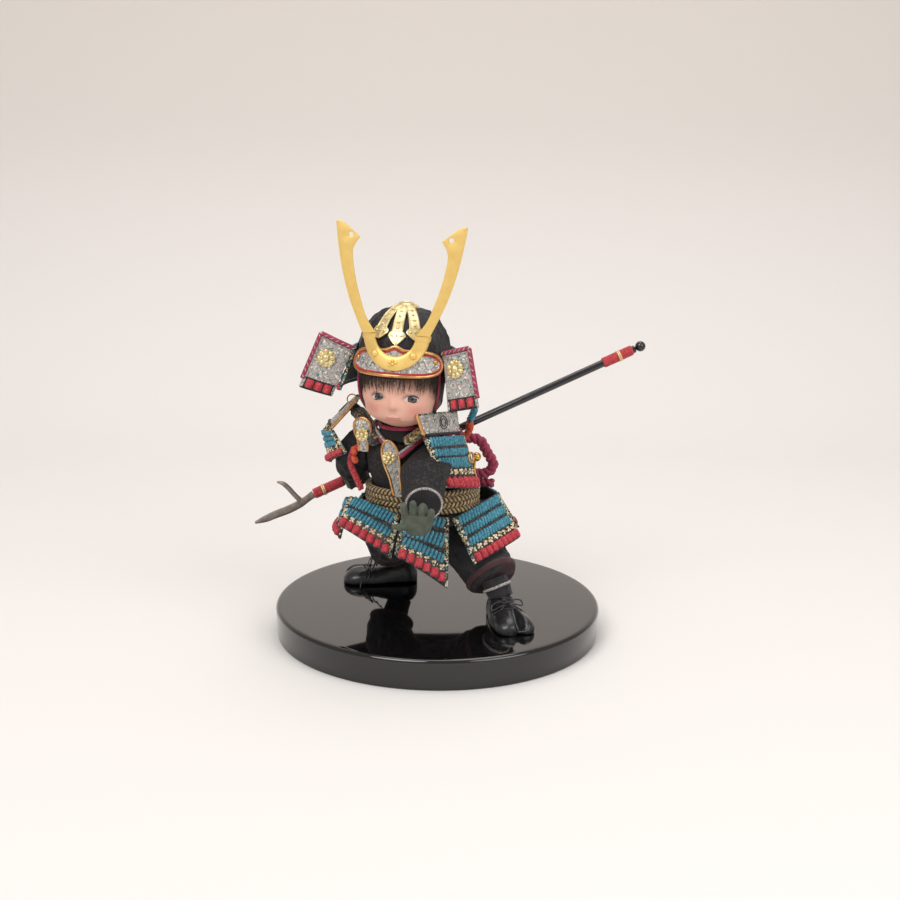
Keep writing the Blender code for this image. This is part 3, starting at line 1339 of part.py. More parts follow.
def make_shoulder_fittings(guard):
    """The gilt ring, bead and pin at the rear edge of the left shoulder guard."""
    corners = GUARDS["left_shoulder_guard"]
    out = normal(corners)
    wire, loop_r, bead_r = 0.0009, 0.0032, 0.0029
    across = (corners[1] - corners[0]).normalized()
    centre = patch(corners, PLATE_BULGE, 0.93, 0.42)
    centre += out * (PLATE_T / 2 + LACE_H + wire + GAP)
    band("shoulder_ring", centre, out, loop_r, round_profile(wire, 5), GOLD, 12)
    bead = centre + across * (loop_r + wire + bead_r + GAP)
    angles = [math.pi * k / 8 for k in range(1, 8)]
    profile = [(bead_r * math.sin(a), bead_r * (1 - math.cos(a))) for a in angles]
    ball = turned("shoulder_bead", bead - out * bead_r, out, profile, GOLD, 10)
    pin = [bead - across * bead_r * 0.6 - mm(0, 0, 1.5), bead - across * 0.0032 - mm(0, 0, 7),
           bead - across * 0.0022 - mm(0, 0, 12), bead + across * 0.0002 - mm(0, 0, 17)]
    fuse(ball, rod("pin", pin, 0.0007, GOLD, 5))
    trim(ball, guard)


def make_neck_cords(neighbours):
    """The teal and red cords that tie the neck guard's corner to the bow on the back."""
    teal = rod("teal_cord", smooth([pt(20.0, 5.0, 162), pt(24.5, 9.0, 151), pt(26.0, 13.0, 143),
                                    pt(23.0, 17.0, 134)], 2), NECK_CORD_R, TEAL, 7)
    red = rod("red_cord", smooth([pt(22.8, 17.2, 133.6), pt(23.0, 19.5, 127), pt(19, 22.5, 119)], 2),
              NECK_CORD_R, RED, 7)
    trim(teal, *neighbours)
    trim(red, teal, *neighbours)


def main():
    """Build the doll."""
    for obj in list(bpy.data.objects):
        bpy.data.objects.remove(obj, do_unlink=True)
    make_stand()
    head, neck_guard, chin_cord = make_head_group()
    body = make_body()
    cuirass = make_cuirass(body)
    belt = make_belt()
    plates = make_chest_fittings(cuirass)
    tassets = make_tassets()
    skirt = make_skirt()
    trim(skirt, tassets[0], tassets[-1])
    caps = {name: make_cap(name) for name in CAPS}
    trim(caps["left_shoulder_cap"], head, chin_cord)
    guards = {name: make_guard(name, cap) for name, cap in zip(GUARDS, caps.values())}
    collars = make_collars(head, body, cuirass, plates)
    trim(body, head)
    straps = make_straps(caps, (head, body, cuirass, *plates, *collars))
    side_cord = make_side_cord()
    sides = [(body, cuirass, strap, cap, guard)
             for strap, cap, guard in zip(straps, caps.values(), guards.values())]
    make_arms(sides[0], sides[1] + (side_cord,))
    bow = make_back_bow()
    trim(bow, cuirass, body, belt)
    make_neck_cords((neck_guard, bow))
    make_shoulder_fittings(guards["left_shoulder_guard"])
    make_legs((body, cuirass, belt), skirt, tassets)
    make_spear()
    for slab in slabs.values():
        drop(slab)


main()
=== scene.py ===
import random
from math import asin, atan2, copysign, cos, exp, pi, radians, sin, sqrt

import bmesh
import bpy
from mathutils import Matrix, Vector, noise
from mathutils.bvhtree import BVHTree


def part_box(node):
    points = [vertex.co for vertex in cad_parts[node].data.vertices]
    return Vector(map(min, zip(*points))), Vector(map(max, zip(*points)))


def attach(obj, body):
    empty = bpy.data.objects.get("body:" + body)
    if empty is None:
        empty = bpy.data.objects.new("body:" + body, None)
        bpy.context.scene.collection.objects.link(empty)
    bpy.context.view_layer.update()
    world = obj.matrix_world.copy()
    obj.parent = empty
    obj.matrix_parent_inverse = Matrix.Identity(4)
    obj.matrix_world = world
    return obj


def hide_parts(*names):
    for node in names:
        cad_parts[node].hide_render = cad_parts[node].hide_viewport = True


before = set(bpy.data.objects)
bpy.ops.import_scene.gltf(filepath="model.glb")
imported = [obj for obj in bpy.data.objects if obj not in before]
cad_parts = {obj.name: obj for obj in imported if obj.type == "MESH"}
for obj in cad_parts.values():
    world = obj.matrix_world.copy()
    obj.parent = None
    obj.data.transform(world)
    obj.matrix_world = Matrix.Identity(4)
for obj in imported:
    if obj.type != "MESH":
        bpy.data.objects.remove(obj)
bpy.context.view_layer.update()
mm = 0.001

# Places: millimetres above the stand's top, and millimetres in the head's own frame
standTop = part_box("display_stand")[1].z * 1000
headCentre = Vector((-26.7, -30.0, 169.7 + standTop)) * mm
headTurn = Matrix.Rotation(radians(-11.0), 4, "Z") @ Matrix.Rotation(radians(2.0), 4, "Y")
bowl = {"centre": Vector((0.0, 7.0, 20.0)), "radii": (32.5, 33.0, 34.7)}
plateBulge = 3.0


def at(x, y, z):
    return Vector((x, y, z + standTop)) * mm


def headAt(x, y, z):
    return headCentre + headTurn @ (Vector((x, y, z)) * mm)


def trail(places):  # a smooth path through places given in millimetres
    return curveThrough([at(*p) for p in places], 6)


def headTurned(x, y, z):
    return (headTurn.to_3x3() @ Vector((x, y, z))).normalized()


# Mesh building

def newPiece(name, parts, finish, sharp=None):
    verts, faces = parts
    mesh = bpy.data.meshes.new(name)
    mesh.from_pydata([tuple(v) for v in verts], [], faces)
    shape = bmesh.new()
    shape.from_mesh(mesh)
    bmesh.ops.recalc_face_normals(shape, faces=shape.faces)
    shape.to_mesh(mesh)
    shape.free()
    mesh.shade_smooth()
    if sharp:
        mesh.set_sharp_from_angle(angle=radians(sharp))
    piece = bpy.data.objects.new(name, mesh)
    mesh.materials.append(finish)
    bpy.context.scene.collection.objects.link(piece)
    return piece


def keep(piece, slot, *nodes):  # rides on the doll's one body, stands for its nodes
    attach(piece, "root")
    if nodes:
        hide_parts(*nodes)
    return piece


def make(name, parts, finish, slot, *nodes, sharp=None):
    return keep(newPiece(name, parts, finish, sharp=sharp), slot, *nodes)


def join(*parts):
    verts, faces = [], []
    for partVerts, partFaces in parts:
        base = len(verts)
        verts += partVerts
        faces += [tuple(base + k for k in face) for face in partFaces]
    return verts, faces


def loft(loops, closed=False, capped=True):
    count = len(loops[0])
    verts = [p for loop in loops for p in loop]
    faces = []
    for row in range(len(loops) if closed else len(loops) - 1):
        a, b = row * count, ((row + 1) % len(loops)) * count
        faces += [(a + k, a + (k + 1) % count, b + (k + 1) % count, b + k) for k in range(count)]
    if capped and not closed:
        for loop, start in ((loops[0], 0), (loops[-1], (len(loops) - 1) * count)):
            verts.append(sum(loop, Vector()) / count)
            tip = len(verts) - 1
            faces += [(start + k, start + (k + 1) % count, tip) for k in range(count)]
    return verts, faces


def circle(centre, side, up, count):
    return [centre + side * cos(2 * pi * k / count) + up * sin(2 * pi * k / count)
            for k in range(count)]


def curveThrough(points, steps, closed=False):
    count = len(points)
    path = []
    for k in range(count if closed else count - 1):
        p1, p2 = points[k], points[(k + 1) % count]
        p0 = points[k - 1] if closed or k > 0 else p1 * 2 - p2
        p3 = points[(k + 2) % count] if closed or k + 2 < count else p2 * 2 - p1
        for step in range(steps):
            t = step / steps
            path.append((p1 * 2 + (p2 - p0) * t + (p0 * 2 - p1 * 5 + p2 * 4 - p3) * t * t
                + (p1 * 3 - p0 - p2 * 3 + p3) * t ** 3) / 2)
    return path if closed else path + [points[-1]]


def evenly(points, spacing, closed=False):  # the same path, with points a steady distance apart
    run = list(points) + ([points[0]] if closed else [])
    marks = [0.0]
    for a, b in zip(run, run[1:]):
        marks.append(marks[-1] + (b - a).length)
    count = max(4, round(marks[-1] / spacing))
    result, seg = [], 0
    for k in range(count if closed else count + 1):
        goal = marks[-1] * k / count
        while seg < len(run) - 2 and marks[seg + 1] < goal:
            seg += 1
        span = marks[seg + 1] - marks[seg]
        result.append(run[seg].lerp(run[seg + 1], (goal - marks[seg]) / span if span else 0.0))
    return result


def carried(points, closed=False):  # tangent, side and up along a path, without twist
    count = len(points)
    tangents = []
    for k in range(count):
        before = points[k - 1] if closed or k else points[0]
        after = points[(k + 1) % count] if closed or k + 1 < count else points[-1]
        tangents.append((after - before).normalized())
    side = tangents[0].orthogonal().normalized()
    first, sides = side.copy(), []
    for tangent in tangents:
        side = (side - tangent * side.dot(tangent)).normalized()
        sides.append(side)
    drift = 0.0
    if closed:
        last = (sides[-1] - tangents[0] * sides[-1].dot(tangents[0])).normalized()
        drift = atan2(last.cross(first).dot(tangents[0]), last.dot(first))
    result = []
    for k, (tangent, s) in enumerate(zip(tangents, sides)):
        s = Matrix.Rotation(drift * k / count, 3, tangent) @ s
        result.append((tangent, s, tangent.cross(s)))
    return result


def tube(points, radius, sides=10, closed=False, flat=1.0):  # radius in millimetres, or one for each point
    radii = radius if isinstance(radius, (list, tuple)) else [radius] * len(points)
    loops = [circle(p, side * r * mm, up * r * mm * flat, sides) for p, r,
        (_, side, up) in zip(points, radii, carried(points, closed))]
    return loft(loops, closed)


def rope(points, radius, pitch, plies=2, sides=6, closed=False, hand=1):
    path = evenly(points, pitch * mm / 9, closed)
    length = sum((b - a).length for a, b in zip(path, path[1:]))
    turns = length / (pitch * mm)
    turns = max(1, round(turns)) if closed else turns
    share = {2: 0.5, 3: 0.52, 4: 0.56}[plies]
    steps = len(path) if closed else len(path) - 1
    parts = []
    for ply in range(plies):
        line = []
        for k, (p, (_, side, up)) in enumerate(zip(path, carried(path, closed))):
            angle = hand * 2 * pi * turns * k / steps + 2 * pi * ply / plies
            line.append(p + (side * cos(angle) + up * sin(angle)) * radius * share * mm)
        parts.append(tube(line, radius * (1.04 - share), sides, closed))
    return join(*parts)


def dome(size, rings, sides):  # half a ball of a given size, flat side down
    loops = []
    for k in range(rings):
        angle = pi / 2 * k / rings
        loops.append(circle(Vector((0, 0, size[2] * sin(angle))), Vector((size[0] * cos(angle), 0, 0)),
            Vector((0, size[1] * cos(angle), 0)), sides))
    verts, faces = loft(loops)
    verts[-1] = Vector((0, 0, size[2]))
    return verts, faces


def softCopy(name, node, finish, voxel, passes, shift=None):  # a CAD solid remeshed and eased
    copy = bpy.data.objects.new(name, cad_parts[node].data.copy())
    bpy.context.scene.collection.objects.link(copy)
    shape = bmesh.new()
    shape.from_mesh(copy.data)
    bmesh.ops.remove_doubles(shape, verts=shape.verts, dist=1e-6)
    shape.to_mesh(copy.data)
    shape.free()
    remesh = copy.modifiers.new("remesh", "REMESH")
    remesh.mode = "VOXEL"
    remesh.voxel_size = voxel * mm
    ease = copy.modifiers.new("ease", "SMOOTH")
    ease.factor = 0.5
    ease.iterations = passes
    plain = bpy.data.meshes.new_from_object(copy.evaluated_get(bpy.context.evaluated_depsgraph_get()))
    bpy.data.objects.remove(copy)
    plain.name = name
    plain.materials.clear()
    plain.materials.append(finish)
    if shift:
        normals = [v.normal.copy() for v in plain.vertices]
        for v, out in zip(plain.vertices, normals):
            v.co += out * shift(v.co, out) * mm
    plain.shade_smooth()
    piece = bpy.data.objects.new(name, plain)
    bpy.context.scene.collection.objects.link(piece)
    return piece


def folds(size, height, stretch=(1, 1, 1), seed=0.0):
    # soft creases in millimetres; below zero they only sink in
    def shift(place, out):
        p = Vector((place.x * stretch[0], place.y * stretch[1], place.z * stretch[2])) / (size * mm)
        p += Vector((seed, seed, seed))
        wave = noise.noise(p) * 0.7 + (0.5 - abs(noise.noise(p * 1.7))) * 0.9
        return height * (wave if height > 0 else max(0.0, 0.4 - wave))
    return shift


# Repeated units, made by one Geometry Nodes tree

def makeRepeatTree():
    tree = bpy.data.node_groups.new("repeatUnit", "GeometryNodeTree")
    tree.is_modifier = True
    for label, kind in (("Spots", "Geometry"), ("Unit", "Object"), ("Size", "Float"), ("Jitter", "Float"),
            ("Seed", "Int"), ("Finish", "Material")):
        tree.interface.new_socket(label, in_out="INPUT", socket_type="NodeSocket" + kind)
    tree.interface.new_socket("Mesh", in_out="OUTPUT", socket_type="NodeSocketGeometry")
    given = addNode(tree, "NodeGroupInput")
    read = [addNode(tree, "GeometryNodeInputNamedAttribute", {"data_type": "FLOAT_VECTOR", "Name": label})
        for label in ("faceOut", "lineUp", "unitSize")]
    faced = addNode(tree, "FunctionNodeAlignRotationToVector", {"axis": "Z", "Vector": read[0].outputs[0]})
    turned = addNode(tree, "FunctionNodeAlignRotationToVector",
        {"axis": "Y", "pivot_axis": "Z", "Rotation": faced, "Vector": read[1].outputs[0]})
    low = addNode(tree, "Math", {"operation": "SUBTRACT", 0: 1.0, 1: given.outputs["Jitter"]})
    high = addNode(tree, "Math", {"operation": "ADD", 0: 1.0, 1: given.outputs["Jitter"]})
    chance = addNode(tree, "FunctionNodeRandomValue",
        {"data_type": "FLOAT", 2: low, 3: high, "Seed": given.outputs["Seed"]})
    grow = addNode(tree, "Math", {"operation": "MULTIPLY", 0: chance.outputs[1], 1: given.outputs["Size"]})
    scaled = addNode(tree, "VectorMath", {"operation": "SCALE", 0: read[2].outputs[0], "Scale": grow})
    unit = addNode(tree, "GeometryNodeObjectInfo", {"Object": given.outputs["Unit"]})
    copies = addNode(tree, "GeometryNodeInstanceOnPoints",
        {"Points": given.outputs["Spots"], "Instance": unit.outputs["Geometry"], "Rotation": turned,
        "Scale": scaled})
    real = addNode(tree, "GeometryNodeRealizeInstances", {0: copies})
    coated = addNode(tree, "GeometryNodeSetMaterial", {"Geometry": real, "Material": given.outputs["Finish"]})
    addNode(tree, "NodeGroupOutput", {0: coated})
    return tree


def addNode(tree, kind, given=None, feeds=None):
    # given: settings, values, and sockets or nodes to link from; feeds: the input of the surface it goes into
    made = tree.nodes.new(kind if "Node" in kind else "ShaderNode" + kind)
    for key, value in (given or {}).items():
        if key == "stops":  # colour stops of a ramp
            for _ in value[2:]:
                made.color_ramp.elements.new(0.5)
            for element, (spot, code) in zip(made.color_ramp.elements, value):
                element.position, element.color = spot, linear(code)
        elif isinstance(value, bpy.types.Node):
            tree.links.new(value.outputs[0], made.inputs[key])
        elif isinstance(value, bpy.types.NodeSocket):
            tree.links.new(value, made.inputs[key])
        elif isinstance(key, str) and hasattr(made, key):
            setattr(made, key, value)
        else:
            made.inputs[key].default_value = value
    if feeds:
        tree.links.new(made.outputs[0], tree.nodes["Principled BSDF"].inputs[feeds])
    return made


repeatTree = makeRepeatTree()
units = {}


def makeUnit(name, parts):  # its UV runs across and along, so a weave follows it
    piece = newPiece("unit_" + name, parts, bpy.data.materials.new("unit"))
    layer = piece.data.uv_layers.new(name="UVMap")
    for loopInfo in piece.data.loops:
        place = piece.data.vertices[loopInfo.vertex_index].co
        layer.data[loopInfo.index].uv = (place.x + 0.5, place.y + 0.5)
    piece.hide_render = True
    units[name] = piece


def pill(ends, sides=7, lift=0.5):  # a half-round cord lying along Y, from -0.5 to 0.5
    loops = []
    for y, share in ends:
        angles = [pi * k / (sides - 1) for k in range(sides)]
        loops.append([Vector((0.5 * share * cos(a), y, lift * share * sin(a))) for a in angles])
    return loft(loops)


cordEnds = ((-0.5, 0.55), (-0.44, 0.86), (-0.3, 1.0), (0.3, 1.0), (0.44, 0.86), (0.5, 0.55))
blockEnds = ((-0.5, 0.72), (-0.4, 0.95), (-0.15, 1.0), (0.15, 1.0), (0.4, 0.95), (0.5, 0.72))
rosetteKnots = ((0.25, 0.25, 0.27), (-0.25, 0.25, 0.27), (0.25, -0.25, 0.27), (-0.25, -0.25, 0.27), (0, 0, 0.2))


def rosetteParts():  # four yarn knots round a smaller one
    parts = []
    for x, y, radius in rosetteKnots:
        verts, faces = dome((radius, radius, 0.36), 2, 6)
        parts.append(([v + Vector((x, y, 0)) for v in verts], faces))
    return join(*parts)


makeUnit("cord", pill(cordEnds))
makeUnit("block", pill(blockEnds, 9, 0.6))
makeUnit("bead", dome((0.5, 0.5, 0.45), 3, 8))
makeUnit("petal", dome((0.5, 0.62, 0.32), 3, 8))
makeUnit("rosette", rosetteParts())
makeUnit("strand", pill(((-0.5, 0.6), (-0.2, 1.0), (0.2, 1.0), (0.5, 0.6)), 5))


def repeated(name, spots, unit, finish, jitter, seed):  # spots: place, out, up, size in mm
    mesh = bpy.data.meshes.new(name)
    mesh.from_pydata([tuple(s[0]) for s in spots], [], [])
    for label, index, share in (("faceOut", 1, 1.0), ("lineUp", 2, 1.0), ("unitSize", 3, 0.001)):
        layer = mesh.attributes.new(label, "FLOAT_VECTOR", "POINT")
        layer.data.foreach_set("vector", [c * share for s in spots for c in s[index]])
    holder = bpy.data.objects.new(name + "_spots", mesh)
    bpy.context.scene.collection.objects.link(holder)
    modifier = holder.modifiers.new("repeat", "NODES")
    modifier.node_group = repeatTree
    values = {"Unit": units[unit], "Size": 1.0, "Jitter": jitter, "Seed": seed, "Finish": finish}
    for item in repeatTree.interface.items_tree:
        if item.in_out == "INPUT" and item.name in values:
            modifier[item.identifier] = values[item.name]
    plain = bpy.data.meshes.new_from_object(holder.evaluated_get(bpy.context.evaluated_depsgraph_get()))
    bpy.data.objects.remove(holder)
    plain.name = name
    plain.materials.clear()
    plain.materials.append(finish)
    plain.shade_smooth()
    piece = bpy.data.objects.new(name, plain)
    bpy.context.scene.collection.objects.link(piece)
    return piece


def makeRepeats(name, spots, unit, finish, slot, jitter=0.0, seed=1):
    return keep(repeated(name, spots, unit, finish, jitter, seed), slot)


# Finishes

def linear(code):
    parts = [int(code[k:k + 2], 16) / 255 for k in (0, 2, 4)]
    return [c / 12.92 if c <= 0.04045 else ((c + 0.055) / 1.055) ** 2.4 for c in parts] + [1.0]


def newFinish(name, code, roughness, metallic=0.0, **more):
    finish = bpy.data.materials.new(name)
    finish.use_nodes = True
    tree = finish.node_tree
    shader = tree.nodes["Principled BSDF"]
    shader.inputs["Base Color"].default_value = linear(code)
    shader.inputs["Roughness"].default_value = roughness
    shader.inputs["Metallic"].default_value = metallic
    for label, value in more.items():
        shader.inputs[label.replace("_", " ")].default_value = value
    return finish, tree, shader, addNode(tree, "TexCoord").outputs["Object"]


def threads(tree, coords, size, turn=(0, 0, 0)):  # woven rows, size between threads in millimetres
    turned = addNode(tree, "Mapping", {"Rotation": turn, "Vector": coords})
    return addNode(tree, "TexWave", {"Scale": 314.0 / size, "Distortion": 1.5, "Detail": 1.0,
        "Detail Scale": 2.0, "Vector": turned}).outputs[1]


def lacquerFinish(name, code, roughness):  # urethane lacquer, sprayed and polished: a clear mirror gloss
    finish, tree, _, coords = newFinish(name, code, roughness, Coat_Weight=0.5, Coat_Roughness=0.02)
    wear = addNode(tree, "TexNoise", {"Scale": 1000 / 38.0, "Detail": 2.0, "Roughness": 0.55,
        "Vector": coords})
    addNode(tree, "MapRange", {"To Min": roughness * 0.7, "To Max": roughness * 1.5, "Value": wear},
        "Roughness")
    return finish


def giltFinish(name, code, dark, roughness, grain=0.9, metallic=1.0):
    # gilt brass, pressed: darker in hollows
    finish, tree, _, coords = newFinish(name, code, roughness, metallic)
    tone = addNode(tree, "TexNoise", {"Scale": 1000 / 5.0, "Detail": 4.0, "Roughness": 0.55,
        "Vector": coords})
    addNode(tree, "ValToRGB", {"stops": ((0.3, dark), (0.62, code)), "Fac": tone}, "Base Color")
    fine = addNode(tree, "TexNoise", {"Scale": 1000 / grain, "Detail": 3.0, "Roughness": 0.55,
        "Vector": coords})
    addNode(tree, "MapRange", {"To Min": roughness * 0.75, "To Max": roughness * 1.35, "Value": fine},
        "Roughness")
    addNode(tree, "Bump", {"Strength": 0.25, "Distance": 0.06 * mm, "Height": fine}, "Normal")
    return finish


def brocadeFinish(name, ground, line, specks, roughness, metallic, scroll=4.2, fill=0.13):
    # woven brocade: metal thread ground, scrolls outlined in dark silk, small coloured wefts
    finish, tree, shader, coords = newFinish(name, ground, roughness, metallic)
    drift = addNode(tree, "TexNoise", {"Scale": 1000 / 7.0, "Detail": 2.0, "Roughness": 0.55,
        "Vector": coords})
    push = addNode(tree, "VectorMath", {"operation": "SCALE", "Scale": 0.0042, 0: drift.outputs["Color"]})
    warped = addNode(tree, "VectorMath", {"operation": "ADD", 0: coords, 1: push})
    cells = addNode(tree, "TexVoronoi", {"Scale": 1000 / scroll, "Vector": warped})
    turns = addNode(tree, "Math", {"operation": "MULTIPLY", 0: cells.outputs["Distance"], 1: 3.1})
    rings = addNode(tree, "Math", {"operation": "FRACT", 0: turns})
    lines = addNode(tree, "Math", {"operation": "LESS_THAN", 0: rings, 1: fill * 2})
    edges = addNode(tree, "TexVoronoi", {"feature": "DISTANCE_TO_EDGE", "Scale": 1000 / scroll,
        "Vector": warped})
    border = addNode(tree, "Math", {"operation": "LESS_THAN", 0: edges.outputs["Distance"], 1: fill * 0.6})
    drawn = addNode(tree, "Math", {"operation": "MAXIMUM", 0: lines, 1: border})
    shade = addNode(tree, "TexNoise", {"Scale": 1000 / 2.2, "Detail": 3.0, "Roughness": 0.55,
        "Vector": coords})
    worn = addNode(tree, "Math", {"operation": "MULTIPLY", 0: shade, 1: 0.28})
    tint = addNode(tree, "Mix", {"data_type": "RGBA", 0: worn, 6: linear(ground), 7: linear(line)}).outputs[2]
    faint = addNode(tree, "Math", {"operation": "MULTIPLY", 0: drawn, 1: 0.7})
    colour = addNode(tree, "Mix", {"data_type": "RGBA", 0: faint, 6: tint, 7: linear(line)}).outputs[2]
    spots = addNode(tree, "TexVoronoi", {"Scale": 1000 / 1.1, "Vector": coords})
    parts = addNode(tree, "SeparateColor", {0: spots.outputs["Color"]})
    for index, (code, share) in enumerate(specks):
        chosen = addNode(tree, "Math", {"operation": "GREATER_THAN", 0: parts.outputs[index], 1: 1.0 - share})
        colour = addNode(tree, "Mix", {"data_type": "RGBA", 0: chosen, 6: colour, 7: linear(code)}).outputs[2]
    tree.links.new(colour, shader.inputs["Base Color"])
    sunk = addNode(tree, "Math", {"operation": "MULTIPLY", 0: drawn, 1: -0.8})
    woven = threads(tree, coords, 0.55, (0.3, 0.2, 0.9))
    weave = addNode(tree, "Math", {"operation": "ADD", 0: woven, 1: sunk})
    addNode(tree, "Bump", {"Strength": 0.5, "Distance": 0.12 * mm, "Height": weave}, "Normal")
    return finish


def silkFinish(name, code, dark, pale, roughness=0.62, plait=5.0):
    # flat silk braid: slanting plaits, dull sheen
    finish, tree, shader, coords = newFinish(name, code, roughness, Sheen_Weight=0.25, Sheen_Roughness=0.4)
    parts = addNode(tree, "SeparateXYZ", {0: addNode(tree, "TexCoord").outputs["UV"]})
    middle = addNode(tree, "Math", {"operation": "SUBTRACT", 0: parts.outputs[0], 1: 0.5})
    slope = addNode(tree, "Math", {"operation": "ABSOLUTE", 0: middle})
    along = addNode(tree, "Math", {"operation": "MULTIPLY", 0: parts.outputs[1], 1: plait})
    slant = addNode(tree, "Math", {"operation": "MULTIPLY", 0: slope, 1: 1.6})
    run = addNode(tree, "Math", {"operation": "ADD", 0: along, 1: slant})
    wave = addNode(tree, "Math", {"operation": "PINGPONG", 0: run, 1: 0.5})
    tone = addNode(tree, "TexNoise", {"Scale": 1000 / 1.6, "Detail": 3.0, "Roughness": 0.55,
        "Vector": coords})
    base = addNode(tree, "ValToRGB", {"stops": ((0.3, dark), (0.55, code), (0.8, pale)), "Fac": tone})
    gap = addNode(tree, "Math", {"operation": "LESS_THAN", 0: wave, 1: 0.12})
    shadow = addNode(tree, "Math", {"operation": "MULTIPLY", 0: gap, 1: 0.45})
    colour = addNode(tree, "Mix", {"data_type": "RGBA", 0: shadow, 6: base, 7: linear(dark)}).outputs[2]
    tree.links.new(colour, shader.inputs["Base Color"])
    addNode(tree, "Bump", {"Strength": 0.6, "Distance": 0.25 * mm, "Height": wave}, "Normal")
    return finish


def cordFinish(name, code, dark, pale, roughness=0.7, thread=0.5, metallic=0.0):  # twisted cord of fine yarn
    finish, tree, _, coords = newFinish(name, code, roughness, metallic, Sheen_Weight=0.2)
    tone = addNode(tree, "TexNoise", {"Scale": 1000 / 1.2, "Detail": 4.0, "Roughness": 0.55,
        "Vector": coords})
    addNode(tree, "ValToRGB", {"stops": ((0.32, dark), (0.52, code), (0.75, pale)), "Fac": tone},
        "Base Color")
    addNode(tree, "Bump", {"Strength": 0.45, "Distance": 0.12 * mm,
        "Height": threads(tree, coords, thread, (0.5, 0.4, 0.7))}, "Normal")
    return finish


def speckFinish(name, codes, cell, roughness=0.75):  # braid of mixed coloured yarns: short flecks of each
    finish, tree, _, coords = newFinish(name, codes[0], roughness, Sheen_Weight=0.2)
    cells = addNode(tree, "TexVoronoi", {"Scale": 1000 / cell, "Vector": coords})
    parts = addNode(tree, "SeparateColor", {0: cells.outputs["Color"]})
    stops = [(k / len(codes), code) for k, code in enumerate(codes)]
    ramp = addNode(tree, "ValToRGB", {"stops": stops, "Fac": parts.outputs[0]}, "Base Color")
    ramp.color_ramp.interpolation = "CONSTANT"
    addNode(tree, "Bump", {"Strength": 0.6, "Distance": 0.2 * mm, "Height": cells.outputs["Distance"]},
        "Normal")
    return finish


def clothFinish(name, code, pale, weave=0.6, roughness=0.88, turn=(0, 0, 0.8), strength=0.4):
    # plain woven cotton: fine crossed threads, slightly faded on the high places
    finish, tree, _, coords = newFinish(name, code, roughness, Sheen_Weight=0.12, Sheen_Roughness=0.5)
    tone = addNode(tree, "TexNoise", {"Scale": 1000 / 6.0, "Detail": 4.0, "Roughness": 0.55,
        "Vector": coords})
    addNode(tree, "ValToRGB", {"stops": ((0.35, code), (0.75, pale)), "Fac": tone}, "Base Color")
    crossed = addNode(tree, "Math", {"operation": "MULTIPLY", 0: threads(tree, coords, weave, turn),
        1: threads(tree, coords, weave, (1.2, 0.4, 0.1))})
    addNode(tree, "Bump", {"Strength": strength, "Distance": 0.15 * mm, "Height": crossed}, "Normal")
    return finish


def skinFinish():
    # vinyl painted in soft sprays: lips, blushed cheeks and lids from the mesh's own paint layer
    finish, tree, shader, coords = newFinish("painted_skin_vinyl", "dba893", 0.5, Subsurface_Weight=0.12)
    paint = addNode(tree, "Attribute", {"attribute_name": "paint"})
    parts = addNode(tree, "SeparateColor", {0: paint.outputs["Color"]})
    mottle = addNode(tree, "TexNoise", {"Scale": 1000 / 9.0, "Detail": 3.0, "Roughness": 0.55,
        "Vector": coords})
    base = addNode(tree, "ValToRGB", {"stops": ((0.3, "d9a48f"), (0.7, "e2b19d")), "Fac": mottle})
    blushed = addNode(tree, "Mix", {"data_type": "RGBA", 0: parts.outputs[0], 6: base,
        7: linear("cb7a6c")}).outputs[2]
    lips = addNode(tree, "Mix", {"data_type": "RGBA", 0: parts.outputs[1], 6: blushed,
        7: linear("b8574f")}).outputs[2]
    lids = addNode(tree, "Mix", {"data_type": "RGBA", 0: parts.outputs[2], 6: lips,
        7: linear("6a4338")}).outputs[2]
    tree.links.new(lids, shader.inputs["Base Color"])
    shader.inputs["Subsurface Radius"].default_value = (1.0, 0.4, 0.25)
    shader.inputs["Subsurface Scale"].default_value = 0.0015
    pores = addNode(tree, "TexNoise", {"Scale": 1000 / 0.8, "Detail": 3.0, "Roughness": 0.55,
        "Vector": coords})
    addNode(tree, "Bump", {"Strength": 0.12, "Distance": 0.05 * mm, "Height": pores}, "Normal")
    return finish


def eyeFinish():
    # painted glass: black pupil, dark grey iris with a darker rim, off-white ball under a wet coat
    finish, tree, _, _ = newFinish("glass_eye_painted", "2b2a2d", 0.06, Coat_Weight=0.7)
    parts = addNode(tree, "SeparateXYZ", {0: addNode(tree, "TexCoord").outputs["UV"]})
    squares = [addNode(tree, "Math", {"operation": "POWER", 0: parts.outputs[k], 1: 2.0}) for k in (0, 1)]
    total = addNode(tree, "Math", {"operation": "ADD", 0: squares[0], 1: squares[1]})
    reach = addNode(tree, "Math", {"operation": "SQRT", 0: total})
    rings = ((0.0, "0c0b0d"), (0.36, "121013"), (0.4, "4b4749"), (0.82, "2f2b2e"), (0.92, "181517"),
        (0.98, "b9aca5"), (1.0, "d0c4be"))
    addNode(tree, "ValToRGB", {"stops": rings, "Fac": reach}, "Base Color")
    return finish


def hairFinish():  # fine dark brown fibre: strands differ a little in tone and shine along their length
    finish, tree, _, coords = newFinish("wig_fibre_dark", "2a1c18", 0.42)
    tone = addNode(tree, "TexNoise", {"Scale": 1000 / 1.5, "Detail": 4.0, "Roughness": 0.55,
        "Vector": coords})
    addNode(tree, "ValToRGB", {"stops": ((0.35, "1f1613"), (0.6, "3d2c26"), (0.85, "6a5147")), "Fac": tone},
        "Base Color")
    return finish


